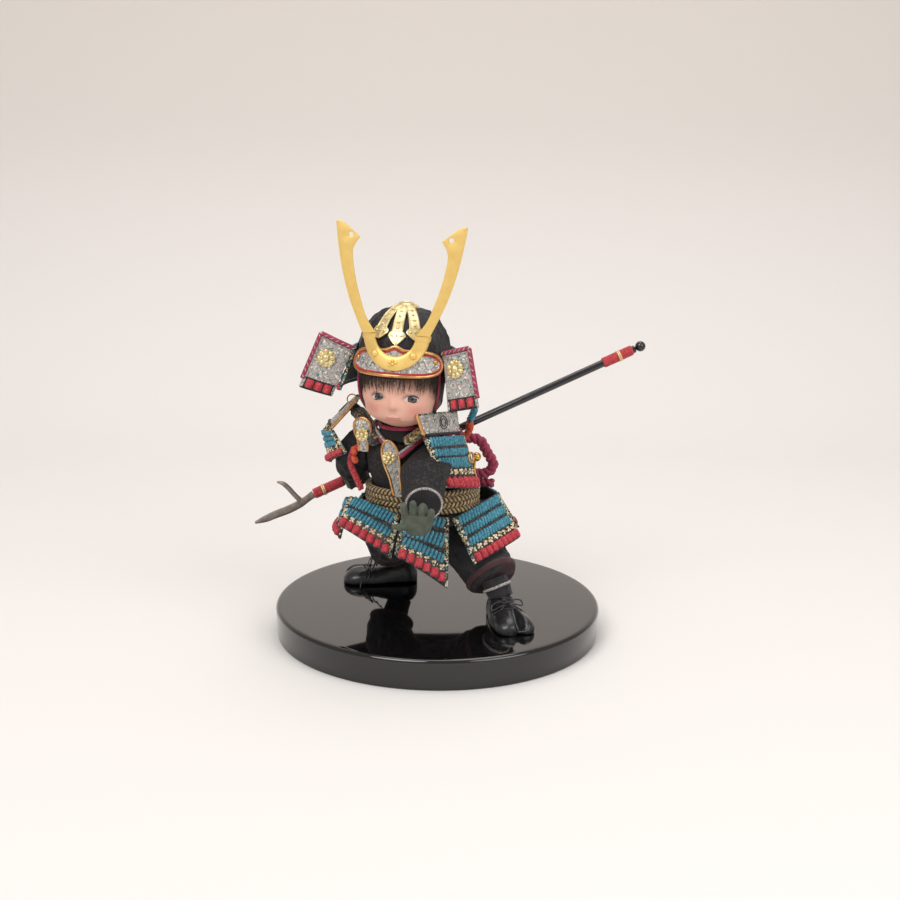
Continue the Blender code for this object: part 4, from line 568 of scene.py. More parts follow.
def bowlFinish():  # black lacquer over a wrinkled ground: dull, with broken highlights
    finish, tree, _, coords = newFinish("lacquered_textured_black", "1a171b", 0.55, Coat_Weight=0.12)
    rough = addNode(tree, "TexNoise", {"Scale": 1000 / 2.4, "Detail": 5.0, "Roughness": 0.65,
        "Vector": coords})
    addNode(tree, "Bump", {"Strength": 0.95, "Distance": 1.6 * mm, "Height": rough}, "Normal")
    return finish


def leatherFinish():  # polished leather: glossy, with soft creases that break the shine
    finish, tree, _, coords = newFinish("black_leather_polished", "1c1b1e", 0.3, Coat_Weight=0.2)
    creases = addNode(tree, "TexNoise", {"Scale": 1000 / 4.5, "Detail": 5.0, "Roughness": 0.6,
        "Vector": coords})
    addNode(tree, "Bump", {"Strength": 0.55, "Distance": 0.7 * mm, "Height": creases}, "Normal")
    return finish


gilt = giltFinish("gilt_brass_pressed", "d9b05a", "a87a32", 0.27)
hornGilt = giltFinish("gilt_brass_matte", "efcb7a", "e8c370", 0.44, 0.4, 0.6)
paleGilt = giltFinish("pale_gilt_brass_embossed", "ecdcac", "cdb780", 0.38, 2.5, 0.85)
copperGilt = giltFinish("copper_gilt_wire", "e2ae74", "bd8250", 0.3)
standLacquer = lacquerFinish("urethane_lacquer_black", "0a090a", 0.05)
shaftLacquer = lacquerFinish("lacquered_wood_black", "121013", 0.16)
silverBrocade = brocadeFinish("silver_brocade_woven", "c2beb8", "5b5b59",
    (("4b7a76", 0.03), ("b0697a", 0.02), ("e8e2d4", 0.08)), 0.5, 0.25, 4.4, 0.075)
darkBrocade = brocadeFinish("dark_brocade_woven", "1f1c1f", "100f10",
    (("27322c", 0.05), ("3a2224", 0.04), ("343233", 0.1)), 0.8, 0.0, 3.6, 0.14)
tealSilk = silkFinish("teal_silk_lacing", "3f8ea3", "22596b", "74b6c4")
redSilk = silkFinish("red_silk_lacing", "c23340", "8f1f2b", "d9595c", plait=3.0)
redCord = cordFinish("red_silk_cord", "c0303a", "8a1b28", "dc5c54")
crimsonCord = cordFinish("crimson_silk_cord", "9a2748", "66132e", "bb4a68")
tealCord = cordFinish("teal_silk_cord", "3388a0", "1b5468", "6fb8c6")
ropeCord = cordFinish("gold_brown_rope", "b39a68", "6d5532", "d8c79c")
silverCord = cordFinish("silver_thread_cord", "b4b0ac", "6c6866", "e2dfda", 0.45, 0.4, 0.3)
blackCord = cordFinish("black_cotton_cord", "1b191b", "0f0e10", "3a3637")
edgeBraid = speckFinish("mixed_yarn_braid", ("d8cfb0", "1c1b1c", "a98c4e", "20201f", "5f8f96", "2a2523"), 1.2)
rosetteYarn = speckFinish("rosette_knotted_yarn", ("e6dec4", "cfb98a", "f0e9d6", "7d6236", "dccfa8",
    "2d2926"), 1.5)
# painted shade: the shoulder straps' gold braid, darkened for the right strap where it lies in shadow
shadedStrapBraid = speckFinish("gold_braid_painted_shade", ("1f1d20", "4a3a2c", "2a2628", "8d7440", "39444e", "1b1a1c"), 1.4)
nightBraid = speckFinish("night_mixed_braid", ("1b1a1c", "2a2729", "39444e", "1b1a1c", "5d5038", "232022"),
    1.1)
strapBraid = speckFinish("mottled_gold_braid", ("cdbb8e", "8d7440", "2a2521", "b7a071", "44544a"), 1.3)
blackCloth = clothFinish("black_cotton_twill", "1a181b", "2b282b")
plateLeather = clothFinish("black_lacquered_leather", "161517", "252326", 1.4, 0.5)
gloveCloth = clothFinish("grey_green_cotton", "434a3e", "5a6152", 0.5, 0.85)
crimsonCloth = clothFinish("crimson_cotton", "8e2440", "a83d58", 0.5, 0.8)
maroonCloth = clothFinish("maroon_banded_cotton", "33191e", "4a2529", 0.7, 0.85)
skinPaint = skinFinish()
eyeGlass = eyeFinish()
hairFibre = hairFinish()
bowlBlack = bowlFinish()
gloss = leatherFinish()
bladeMetal = giltFinish("steel_bronze_toned", "8a7f76", "6a605a", 0.42, 0.8, 0.6)
orangeCord = cordFinish("orange_red_silk_cord", "d2502c", "9c2f1c", "ea7a48")
brownCord = cordFinish("dark_brown_rope", "3a2a1c", "1c140e", "6a5238")
print("finishes made")

# The stand

stand = {"radius": 120.0, "height": standTop, "edge": 2.8, "undercut": 1.0, "sides": 160}


def makeStand():
    profile = [(stand["radius"] - stand["undercut"] - 3.0, 0.0), (stand["radius"] - stand["undercut"], 0.6)]
    for k in range(9):
        angle = pi / 2 * k / 8
        profile.append((stand["radius"] - stand["edge"] * (1 - cos(angle)), stand["height"] - stand["edge"]
            * (1 - sin(angle))))
    profile += [(stand["radius"] * share, stand["height"]) for share in (0.955, 0.9, 0.5)]
    loops = [circle(Vector((0, 0, z * mm)), Vector((r * mm, 0, 0)), Vector((0, r * mm, 0)), stand["sides"])
        for r, z in profile]
    board = newPiece("display_board", loft(loops), standLacquer, sharp=50)
    keep(board, "stand_lacquer", "display_stand")


makeStand()

# Soft bodies, eased from the CAD solids

softBodies = (
    # name, node, finish, slot, voxel, smoothing passes, creases (size, height, seed)
    ("stuffed_body", "torso_body", blackCloth, "black_cloth", 1.2, 6, None),
    ("cuirass_cloth", "cuirass", darkBrocade, "dark_brocade", 0.9, 4, None),
    ("skirt_lining", "skirt_padding", blackCloth, "black_cloth", 0.6, 3, None),
    ("neck_band", "inner_collar", blackCloth, "black_cloth", 0.6, 6, (7.0, 0.3, 2.0)),
    ("sleeve_left", "left_sleeve", darkBrocade, "dark_brocade", 0.8, 10, (9.0, -1.1, 5.0)),
    ("sleeve_right", "right_sleeve", darkBrocade, "dark_brocade", 0.8, 8, (8.0, -1.0, 9.0)),
    ("glove_left", "left_hand", gloveCloth, "glove", 0.4, 6, (3.0, 0.12, 1.0)),
    ("glove_right", "right_hand", gloveCloth, "glove", 0.5, 6, (3.0, 0.12, 4.0)),
    ("sock_left", "left_sock", blackCloth, "black_cloth", 0.6, 4, (5.0, 0.35, 3.0)),
    ("sock_right", "right_sock", blackCloth, "black_cloth", 0.6, 4, (5.0, 0.35, 7.0)),
    ("strap_left", "left_shoulder_strap", strapBraid, "gold_brocade", 0.6, 4, (3.0, 0.25, 3.0)),
    # the right strap takes the darkened gold braid: painted shade
    ("strap_right", "right_shoulder_strap", shadedStrapBraid, "gold_brocade", 0.6, 4, None),
    ("hakama_trousers", "trousers", blackCloth, "black_cloth", 1.0, 8, (11.0, -1.6, 6.0)),
)


def plumpStrap(place, out):  # swells the strap whose braid stands up, with a little unevenness
    return 2.0 + 0.6 * noise.noise(place * 300)


def tuckBehind(piece, node, reach, under, passes):  # presses cloth that bulges past a plate back behind it
    tree = BVHTree.FromObject(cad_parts[node], bpy.context.evaluated_depsgraph_get())
    outwards = Vector((0.72, -0.62, 0.3)).normalized()
    shape = bmesh.new()
    shape.from_mesh(piece.data)
    moved = set()
    for vertex in shape.verts:
        for lower in (0.0, 0.0025, 0.005):
            spot = tree.ray_cast(vertex.co + Vector((0, 0, lower)), -outwards, reach * mm)[0]
            if spot:
                depth = (vertex.co + Vector((0, 0, lower)) - spot).length + under * mm
                vertex.co -= outwards * depth * (1.0 - lower * 90)
                moved.add(vertex)
                break
    near = {v for m in moved for edge in m.link_edges for v in edge.verts}
    for _ in range(passes):
        bmesh.ops.smooth_vert(shape, verts=list(near), factor=0.5, use_axis_x=True, use_axis_y=True,
            use_axis_z=True)
    shape.to_mesh(piece.data)
    shape.free()


for name, node, finish, slot, voxel, passes, crease in softBodies:
    shift = folds(crease[0], crease[1], seed=crease[2]) if crease else None
    piece = softCopy(name, node, finish, voxel, passes, shift=plumpStrap if name == "strap_right" else shift)
    if node == "trousers":
        tuckBehind(piece, "tasset_left", 14, 3.4, 6)
    keep(piece, slot, node)
print("soft bodies made")

# Laced plates

tassets = {  # corners from the top left, seen from outside
    "front_right": (at(-62.7, -12, 82.8), at(-28.5, -34, 76.0), at(-34.5, -50, 49.2), at(-72.1, -28, 67.1)),
    "front": (at(-25.0, -36, 77.0), at(6.0, -32, 73.3), at(5.4, -56, 29.6), at(-30.0, -54, 52.0)),
    "left": (at(10.2, -29.5, 72.0), at(43.4, 8, 80.8), at(59.9, 0, 49.4), at(26.2, -42, 42.2)),
    "back_left": (at(43.0, 13, 79.0), at(20.0, 38, 79.0), at(28.0, 56, 50.0), at(60.0, 22, 50.0)),
    "back": (at(16.0, 41, 79.0), at(-25.0, 43, 79.0), at(-28.0, 60, 50.0), at(23.0, 60, 50.0)),
    "back_right": (at(-29.0, 42, 78.0), at(-57.0, 24, 73.0), at(-70.0, 36, 52.0), at(-33.0, 59, 50.0)),
    "right": (at(-62.0, 16, 74.0), at(-64.6, -7, 79.5), at(-71.8, -8, 50.0), at(-73.0, 26, 51.0)),
}
guards = {
    "left": (at(-10.9, -54.0, 137.6), at(16.2, -15.0, 130.4), at(28.7, -10, 89.5), at(4.5, -42, 98.8)),
    "right": (at(-84.0, 21.0, 126.0), at(-76.0, -9.5, 131.4), at(-66.0, -24, 119.0), at(-78.7, 6, 104.8)),
}
lacing = {"rib": 2.9, "lift": 1.7, "slab": 2.0, "edge": 1.3, "block": 5.9, "side": 2.6}
twoRows = (("cords", 0.02, 0.29), ("braid", 0.29, 0.4), ("cords", 0.4, 0.6), ("dots", 0.6, 0.77),
    ("blocks", 0.78, 0.99))
frontRows = (("cords", 0.02, 0.18), ("braid", 0.18, 0.25), ("cords", 0.25, 0.48), ("braid", 0.48, 0.55),
    ("cords", 0.55, 0.7), ("dots", 0.7, 0.82), ("blocks", 0.83, 0.99))
threeRows = (("cords", 0.02, 0.2), ("braid", 0.2, 0.26), ("cords", 0.26, 0.43), ("braid", 0.43, 0.49),
    ("cords", 0.49, 0.66), ("dots", 0.68, 0.8), ("blocks", 0.82, 0.99))
guardRows = (("cords", 0.02, 0.17), ("braid", 0.17, 0.24), ("cords", 0.24, 0.36), ("braid", 0.36, 0.42),
    ("cords", 0.42, 0.58), ("dots", 0.62, 0.75), ("blocks", 0.8, 0.98))


def plateNormal(corners):
    tl, tr, br, bl = corners
    return ((tr - tl) + (br - bl)).cross((tl - bl) + (tr - br)).normalized()


def flatSurface(corners, bulge=plateBulge):  # a place and its outward normal on a bulged plate
    tl, tr, br, bl = corners
    out = plateNormal(corners)

    def surface(u, v):
        flat = (tl * (1 - u) + tr * u) * (1 - v) + (bl * (1 - u) + br * u) * v
        across = (tr - tl) * (1 - v) + (br - bl) * v
        tilt = across.normalized() * (8 * bulge * mm * (u - 0.5) / across.length)
        return flat + out * bulge * mm * (1 - (2 * u - 1) ** 2), (out + tilt).normalized()
    return surface


def slabOf(surface, thickness, across=14, down=8):
    half = thickness * 0.0005
    faces, verts = [], []
    for side in (1, -1):
        for r in range(down + 1):
            for c in range(across + 1):
                place, out = surface(c / across, r / down)
                edge = 0.55 if c in (0, across) or r in (0, down) else 1.0
                verts.append(place + out * half * side * edge)
    count = (across + 1) * (down + 1)
    for r in range(down):
        for c in range(across):
            k = r * (across + 1) + c
            quad = (k, k + 1, k + across + 2, k + across + 1)
            faces += [quad, tuple(count + q for q in reversed(quad))]
    ring = [c for c in range(across)] + [r * (across + 1) + across for r in range(down)]
    ring += [down * (across + 1) + c for c in range(across, 0, -1)] + [r * (across + 1) for r in range(down,
        0, -1)]
    faces += [(a, b, count + b, count + a) for a, b in zip(ring, ring[1:] + ring[:1])]
    return verts, faces


def lacedPlate(name, node, surface, rows, slots=("teal_lacing", "red_cord"), slab=plateLeather, seed=1):
    dice = random.Random(seed)
    base = newPiece(name + "_plate", slabOf(surface, lacing["slab"]), slab, sharp=45)
    keep(base, slots[0], node)
    cords, dots, blocks, braids, beads = [], [], [], [], []
    top = lacing["slab"] / 2
    for kind, v0, v1 in rows:
        left, right = surface(0.0, (v0 + v1) / 2)[0], surface(1.0, (v0 + v1) / 2)[0]
        width = (right - left).length * 1000
        tall = (surface(0.5, v0)[0] - surface(0.5, v1)[0]).length * 1000
        if kind == "braid":
            for share in (0.3, 0.7):
                line = [surface(0.03 + 0.94 * k / 24, v0 + (v1 - v0) * share) for k in range(25)]
                line = [p + out * (top + 0.1) * mm for p, out in line]
                braids.append(rope(line, tall * 0.3, 2.6, 2, 5, hand=1 if share > 0.5 else -1))
            continue
        pitch = {"cords": lacing["rib"], "dots": lacing["block"], "blocks": lacing["block"]}[kind]
        margin = lacing["side"] if kind == "cords" else 1.2
        count = max(3, round((width - margin * 2) / pitch))
        step = (1.0 - margin * 2 / width) / count
        for k in range(count):
            u = margin / width + step * (k + 0.5)
            spot, out = surface(u, (v0 + v1) / 2)
            up = surface(u, v0)[0] - surface(u, v1)[0]
            across = surface(min(u + 0.02, 1), v0)[0] - surface(max(u - 0.02, 0), v0)[0]
            lifted = spot + out * (top - 0.1) * mm
            if kind == "cords":
                lean = up + across.normalized() * up.length * 0.3
                cords.append((lifted, out, lean, (step * width * 0.92, tall * 1.1, lacing["lift"] * 2)))
            elif kind == "dots":
                turn = up + across.normalized() * up.length * dice.uniform(-0.5, 0.5)
                dots.append((lifted, out, turn, (4.4, 4.4, 3.4)))
            else:
                blocks.append((lifted, out, up, (step * width * 0.94, tall * 1.02, 5.6)))
    for k in range(round(((surface(0, 0)[0] - surface(0, 1)[0]).length * 1000) / 4.4)):
        for u in (0.0, 1.0):
            v = 0.03 + 4.4 / ((surface(u, 0)[0] - surface(u, 1)[0]).length * 1000) * (k + 0.5)
            if v < 0.8:
                spot, out = surface(u + (0.5 - u) * 3.0 / ((surface(1, v)[0] - surface(0, v)[0]).length
                    * 1000), v)
                beads.append((spot + out * top * mm, out, Vector((dice.uniform(-1, 1), 0, 1)),
                    (3.0, 3.0, 2.6)))
    for label, spots, unit, finish, slot in (("lacing", cords, "cord", tealSilk, slots[0]),
            ("tufts", blocks, "block", redSilk, slots[1]),
            ("knots", dots, "rosette", rosetteYarn, "gold_brocade"),
            ("sideknots", beads, "rosette", rosetteYarn, "gold_brocade")):
        if spots:
            makeRepeats(name + "_" + label, spots, unit, finish, slot, jitter=0.06, seed=seed)
    if braids:
        make(name + "_braid", join(*braids), nightBraid, "black_cloth")
    borders = []
    for u in (0.0, 1.0):
        line = [surface(u, k / 14)[0] + surface(u, k / 14)[1] * 0.0006 for k in range(15)]
        borders.append(rope(line, lacing["edge"], 2.8, 2, 6, hand=1 if u else -1))
    make(name + "_edging", join(*borders), edgeBraid, "gold_brocade")
    foot = [surface(0.02 + 0.96 * k / 14, 1.0) for k in range(15)]
    make(name + "_foot", tube([p for p, out in foot], 0.7, 8), blackCord, "black_cloth")


for index, (side, corners) in enumerate(tassets.items()):
    rows = frontRows if side == "front" else threeRows if "left" in side or side == "back" else twoRows
    lacedPlate("tasset_" + side, "tasset_" + side, flatSurface(corners), rows, seed=index + 3)
for index, (side, corners) in enumerate(guards.items()):
    lacedPlate("guard_" + side, side + "_shoulder_guard", flatSurface(corners), guardRows, seed=index + 20)
print("laced plates made")

# The head, its hair and the helmet

headForm = {"wide": 27.0, "deep": 27.5, "neck": 9.5, "top": 30.5, "sides": 72, "rows": 64}
headRings = (  # height, width share, neck's place, depth share in front
    (-46.0, 0.0, 14.5, None), (-31.5, 0.0, 13.0, None), (-29.0, 0.36, 0.0, 0.48), (-26.8, 0.55, 0.0, 0.66),
    (-23.2, 0.74, 0.0, 0.8), (-18.4, 0.88, 0.0, 0.91), (-12.5, 0.94, 0.0, 0.975), (-7.5, 1.0, 0.0, 1.0),
    (-2.5, 1.0, 0.0, 0.99), (4.0, 0.985, 0.0, 1.0), (14.0, 0.86, 0.0, 0.92), (24.0, 0.54, 0.0, 0.6))
face = {"low": 1.9, "eyes": ((-10.7, -4.9), (12.2, -4.9)), "eyeSize": (5.0, 2.75)}


def bell(x, z, cx, cz, sx, sz):
    return exp(-((x - cx) / sx) ** 2 - ((z - cz) / sz) ** 2)


def faceRelief(x, z):  # millimetres; forward is negative
    z += face["low"]
    push = -2.3 * bell(x, z, 0, -8.6, 2.5, 2.6) - 1.0 * bell(x, z, 0, -5.4, 2.3, 4.0)
    push -= 0.55 * (bell(x, z, -1.9, -9.3, 1.3, 1.2) + bell(x, z, 1.9, -9.3, 1.3, 1.2))
    push -= 0.75 * bell(x, z, 0, -16.3, 4.6, 1.05) + 0.8 * bell(x, z, 0, -18.3, 3.7, 1.15)
    push += 0.45 * bell(x, z, 0, -17.25, 5.2, 0.42) + 0.35 * bell(x, z, 0, -13.2, 0.8, 2.0)
    push += 0.4 * (bell(x, z, -5.4, -17.2, 1.0, 1.0) + bell(x, z, 5.4, -17.2, 1.0, 1.0))
    push -= 0.8 * bell(x, z, 0, -23.4, 6.0, 2.6) - 0.5 * bell(x, z, 0, -20.6, 4.6, 1.0)
    for side in (-1, 1):
        push -= 1.0 * bell(x, z, side * 14.5, -12.5, 6.5, 5.5)
        push += 1.25 * bell(x, z, side * 11.4, -2.6, 5.4, 3.2)
        push -= 0.55 * bell(x, z, side * 11.4, 1.6, 6.0, 1.4)
    return push


def headSurface(angle, z):  # a place on the head; angle 270 degrees is straight ahead
    rows = headRings + ((headForm["top"], 0.0, 0.0, 0.0),)
    k = 0
    while k < len(rows) - 2 and z > rows[k + 1][0]:
        k += 1
    z0, z1 = rows[k][0], rows[k + 1][0]
    t = min(max((z - z0) / (z1 - z0), 0.0), 1.0)
    c, s = cos(angle), sin(angle)

    def radii(row):
        if row[3] is None:
            return Vector((headForm["neck"], headForm["neck"], row[2]))
        return Vector((headForm["wide"] * row[1], headForm["deep"] * (row[3] if s < 0 else row[1]), 0.0))

    def tangent(a, b):
        return (radii(rows[b]) - radii(rows[a])) / (rows[b][0] - rows[a][0])
    first = tangent(max(k - 1, 0), k + 1)
    last = tangent(k, min(k + 2, len(rows) - 1))
    if z > 24.0:
        share = sqrt(max(0.0, 1 - t ** 2))
        size = radii(rows[k]) * share
    elif rows[k][3] is None:
        size = radii(rows[k]).lerp(radii(rows[k + 1]), t * t * (3 - 2 * t))
    else:
        span = z1 - z0
        size = (radii(rows[k]) * (2 * t ** 3 - 3 * t ** 2 + 1) + first * span * (t ** 3 - 2 * t ** 2 + t)
                + radii(rows[k + 1]) * (3 * t ** 2 - 2 * t ** 3) + last * span * (t ** 3 - t ** 2))
    place = Vector((size.x * c, size.z + size.y * s, z))
    if s < 0 and z > -27:
        place.y += faceRelief(place.x, z) * min(1.0, -s * 2.5)
    if z < -20:
        place.y += (-20 - z) * 1.1 * (1.0 if z > -27 else max(0.0, (z + 46) / 19))
    return place


def makeHead():
    sides, rows = headForm["sides"] * 2, headForm["rows"] * 2
    heights = [-46.0 + 16.0 * k / 8 for k in range(8)]
    heights += [-30.0 + 60.3 * (k / rows) for k in range(rows + 1)]
    loops = [[headAt(*headSurface(2 * pi * k / sides, z)) for k in range(sides)] for z in heights]
    head = newPiece("painted_head", loft(loops), skinPaint)
    layer = head.data.color_attributes.new("paint", "FLOAT_COLOR", "POINT")
    back = headTurn.inverted()
    for vertex in head.data.vertices:
        local = back @ (vertex.co - headCentre) * 1000
        x, z = local.x, local.z + face["low"]
        blush = lip = lid = 0.0
        if local.y < 0:
            for side in (-1, 1):
                blush += 0.62 * bell(x, z, side * 15.5, -11.5, 6.0, 4.6)
                edge = ((x - side * 11.4) / 5.0) ** 2 + ((z + 2.5) / 3.2) ** 2
                lid = max(lid, 0.55 * exp(-((edge - 0.95) / 0.3) ** 2) * (1.0 if z > -3.0 else 0.35))
            blush += 0.35 * bell(x, z, 0, -9, 3.0, 2.2) + 0.3 * bell(x, z, 0, -22.5, 6.0, 3.0)
            upper = -16.2 + 0.35 * cos(x * 1.5) - abs(x) * 0.12
            inside = min(1.0, max(0.0, (6.0 - abs(x)) / 1.5))
            lip = inside * min(1.0, max(0.0, (upper + 0.75 - z) / 0.7)) * min(1.0, max(0.0, (z + 19.4) / 0.9))
        layer.data[vertex.index].color = (min(blush, 1.0), lip * 0.5, lid, 1.0)
    keep(head, "skin", "head")


def makeEyes():  # glass eyes set behind almond lids, with lashes along the upper lid
    lashes = []
    for side, (ex, ez) in zip((-1, 1), face["eyes"]):
        wide, tall = face["eyeSize"]
        surface = headSurface(radians(270) + atan2(ex, headForm["deep"]), ez)
        out = Vector((ex * 0.028, -1.0, 0.03)).normalized()
        across = Vector((1, 0, 0)) - out * out.x
        across.normalize()
        up = out.cross(across) * -1
        up = up if up.z > 0 else -up
        centre = Vector((ex, surface.y + 0.15, ez))
        verts, faces, marks = [], [], []
        rings, count = 7, 28
        for ring in range(rings + 1):
            share = ring / rings
            for k in range(count):
                angle = 2 * pi * k / count
                a, b = cos(angle), sin(angle)
                lift = 1.0 if b > 0 else 0.78
                p = across * (wide * share * a) + up * (tall * share * b * lift * (1 - 0.12 * a * a))
                p += out * (0.85 * (1 - share ** 2))
                verts.append(headAt(*(centre + p)))
                marks.append(((wide * share * a - 0.5) / 3.5, tall * share * b * lift / 3.3 - 0.06))
        for ring in range(rings):
            a, b = ring * count, (ring + 1) * count
            faces += [(a + k, a + (k + 1) % count, b + (k + 1) % count, b + k) for k in range(count)]
        rim = rings * count
        verts += [v + headTurned(0, 1, 0) * 0.0012 for v in verts[rim:rim + count]]
        marks += marks[rim:rim + count]
        faces += [(rim + k, rim + (k + 1) % count, rim + count + (k + 1) % count, rim + count + k)
            for k in range(count)]
        faces.append(tuple(range(rim + count, rim + 2 * count)))
        faces.append(tuple(range(count)))
        eye = newPiece("glass_eye_" + ("right" if side < 0 else "left"), (verts, faces), eyeGlass)
        layer = eye.data.uv_layers.new(name="UVMap")
        for item in eye.data.loops:
            layer.data[item.index].uv = marks[item.vertex_index]
        keep(eye, "skin")
        for lift, radius, sweep in ((1, 0.42, (0.06, 0.94)), (-1, 0.16, (0.2, 0.8))):
            line = []
            for k in range(17):
                angle = pi * (sweep[0] + (sweep[1] - sweep[0]) * k / 16)
                a, b = cos(angle), sin(angle) * (1.0 if lift > 0 else -0.78)
                p = across * (wide * 1.03 * a) + up * (tall * 1.02 * b * (1 - 0.12 * a * a)) + out * 0.12
                line.append(headAt(*(centre + p)))
            radii = [radius * sin(pi * (0.08 + 0.84 * k / 16)) for k in range(17)]
            lashes.append(tube(line, radii, 8))
    make("lash_lines", join(*lashes), hairFibre, "hair")


def domeAt(azimuth, elevation, offset=0.0):  # a place over the helmet bowl, in the head's millimetres
    rx, ry, rz = bowl["radii"]
    flat = cos(elevation)
    return bowl["centre"] + Vector(((rx + offset) * flat * sin(azimuth), -(ry + offset) * flat * cos(azimuth),
        (rz + offset) * sin(elevation)))


hair = {"thick": 2.6, "strands": 1300, "under": -2.7, "seed": 4}


def hairSurface(angle, z, grow=0.0):  # angle from straight ahead
    if z > 18.0:
        e = asin(min((z - 20.0) / (bowl["radii"][2] + hair["under"]), 1.0)) if z > 20 else 0.0
        return domeAt(angle, max(e, 0.0), hair["under"] + grow)
    size = hair["thick"] + grow
    if z < -12:
        size = 1.56 - (-12 - z) / 7 * 5.06 + grow
    elif z < 0:
        size = 1.56 + (z + 12) / 12 * (hair["thick"] - 1.56) + grow
    return Vector(((headForm["wide"] + size) * sin(angle), 1 - (headForm["deep"] + size) * cos(angle), z))


def makeHair():
    dice = random.Random(hair["seed"])
    cap = softCopy("wig_base", "hair", hairFibre, 0.6, 5, shift=folds(2.0, 0.35, (1, 1, 0.2), 3.0))
    back = headTurn.inverted()
    for vertex in cap.data.vertices:
        spot = back @ (vertex.co - headCentre) * 1000
        if spot.y < -4 and abs(spot.x) < 24 and spot.z < 11:
            spot.z = 11 + (spot.z - 11) * 0.25
            vertex.co = headAt(*spot)
    keep(cap, "hair", "hair")
    parts = []
    for _ in range(hair["strands"]):
        angle = dice.uniform(-pi, pi)
        ahead = abs(angle) < 1.22
        start = dice.uniform(10.0, 17.0)
        if ahead and dice.random() < 0.25:
            continue
        if ahead:
            end = 1.6 - 5.5 * (abs(angle) / 1.22) ** 2 + dice.choice((0, 0, 3.5)) + dice.uniform(-4.4, 2.6)
        elif abs(angle) < 1.55:
            end = -7.0 + dice.uniform(-6.0, 5.0)
        else:
            end = -17.0 + dice.uniform(-4.0, 3.0)
        lean, bend = dice.uniform(-0.1, 0.1), dice.uniform(-0.5, 0.5)
        line = []
        for step in range(6):
            t = step / 5
            z = start + (end - start) * t
            grow = 0.25 + bend * 0.25 * sin(t * 5)
            line.append(headAt(*hairSurface(angle + lean * t * t, z, grow - (0.9 * t * t if ahead else 0.0))))
        radius = dice.uniform(0.11, 0.24)
        parts.append(tube(line, [radius * share for share in (0.9, 1.0, 1.0, 0.85, 0.55, 0.12)], 4, flat=0.6))
    make("wig_strands", join(*parts), hairFibre, "hair")


def makeBowl():  # ribbed bowl, its ribs wrinkled like lacquered paper; open below with a rolled rim
    sides, ribs = 192, 24
    levels = [radians(a) for a in (0, 3, 6, 10, 14, 19, 24, 29, 34, 39, 44, 49, 54, 59, 64, 69, 74, 79, 84,
        88)]

    def loopAt(level, offset, ribbed, drop=0.0):
        loop = []
        for k in range(sides):
            angle = 2 * pi * k / sides
            wave = cos(angle * ribs / 2)
            fade = min(1.0, max(0.0, (radians(76) - level) / 0.25))
            rib = (max(0.0, wave) ** 2) * 1.1 * fade if ribbed else 0.0
            spot = domeAt(angle, level, offset)
            rough = noise.noise(spot * 0.5) * 0.6 + noise.noise(spot * 1.1) * 0.35 if ribbed else 0.0
            bumps = 0.45 * max(0.0, sin(level * 46 + k // (sides // ribs) * 2.1)) * rib if ribbed else 0.0
            spot = domeAt(angle, level, offset + rib + (rough + bumps) * fade)
            spot.z -= drop
            loop.append(headAt(*spot))
        return loop
    inner = [loopAt(level, -2.0, False) for level in reversed(levels)]
    rim = [loopAt(0.0, -2.0, False, 2.2), loopAt(0.0, -1.3, False, 2.8), loopAt(0.0, -0.3, False, 2.8),
           loopAt(0.0, 0.2, False, 2.2)]
    outer = [loopAt(level, 0.0, True) for level in levels]
    make("helmet_shell", loft(inner + rim + outer), bowlBlack, "helmet_black", "helmet_bowl")


ridges = {"width": 7.2, "thick": 0.9, "plates": ((-0.5, 25.5), (0.0, 20.2), (0.5, 25.5))}
ridgeOutline = ((0.0, 0.7), (0.1, 0.78), (0.25, 0.88), (0.4, 0.93), (0.55, 0.97), (0.68, 1.0), (0.74, 1.02),
    (0.78, 1.45), (0.83, 1.62), (0.88, 1.35), (0.93, 0.95), (0.97, 0.5), (1.0, 0.08))


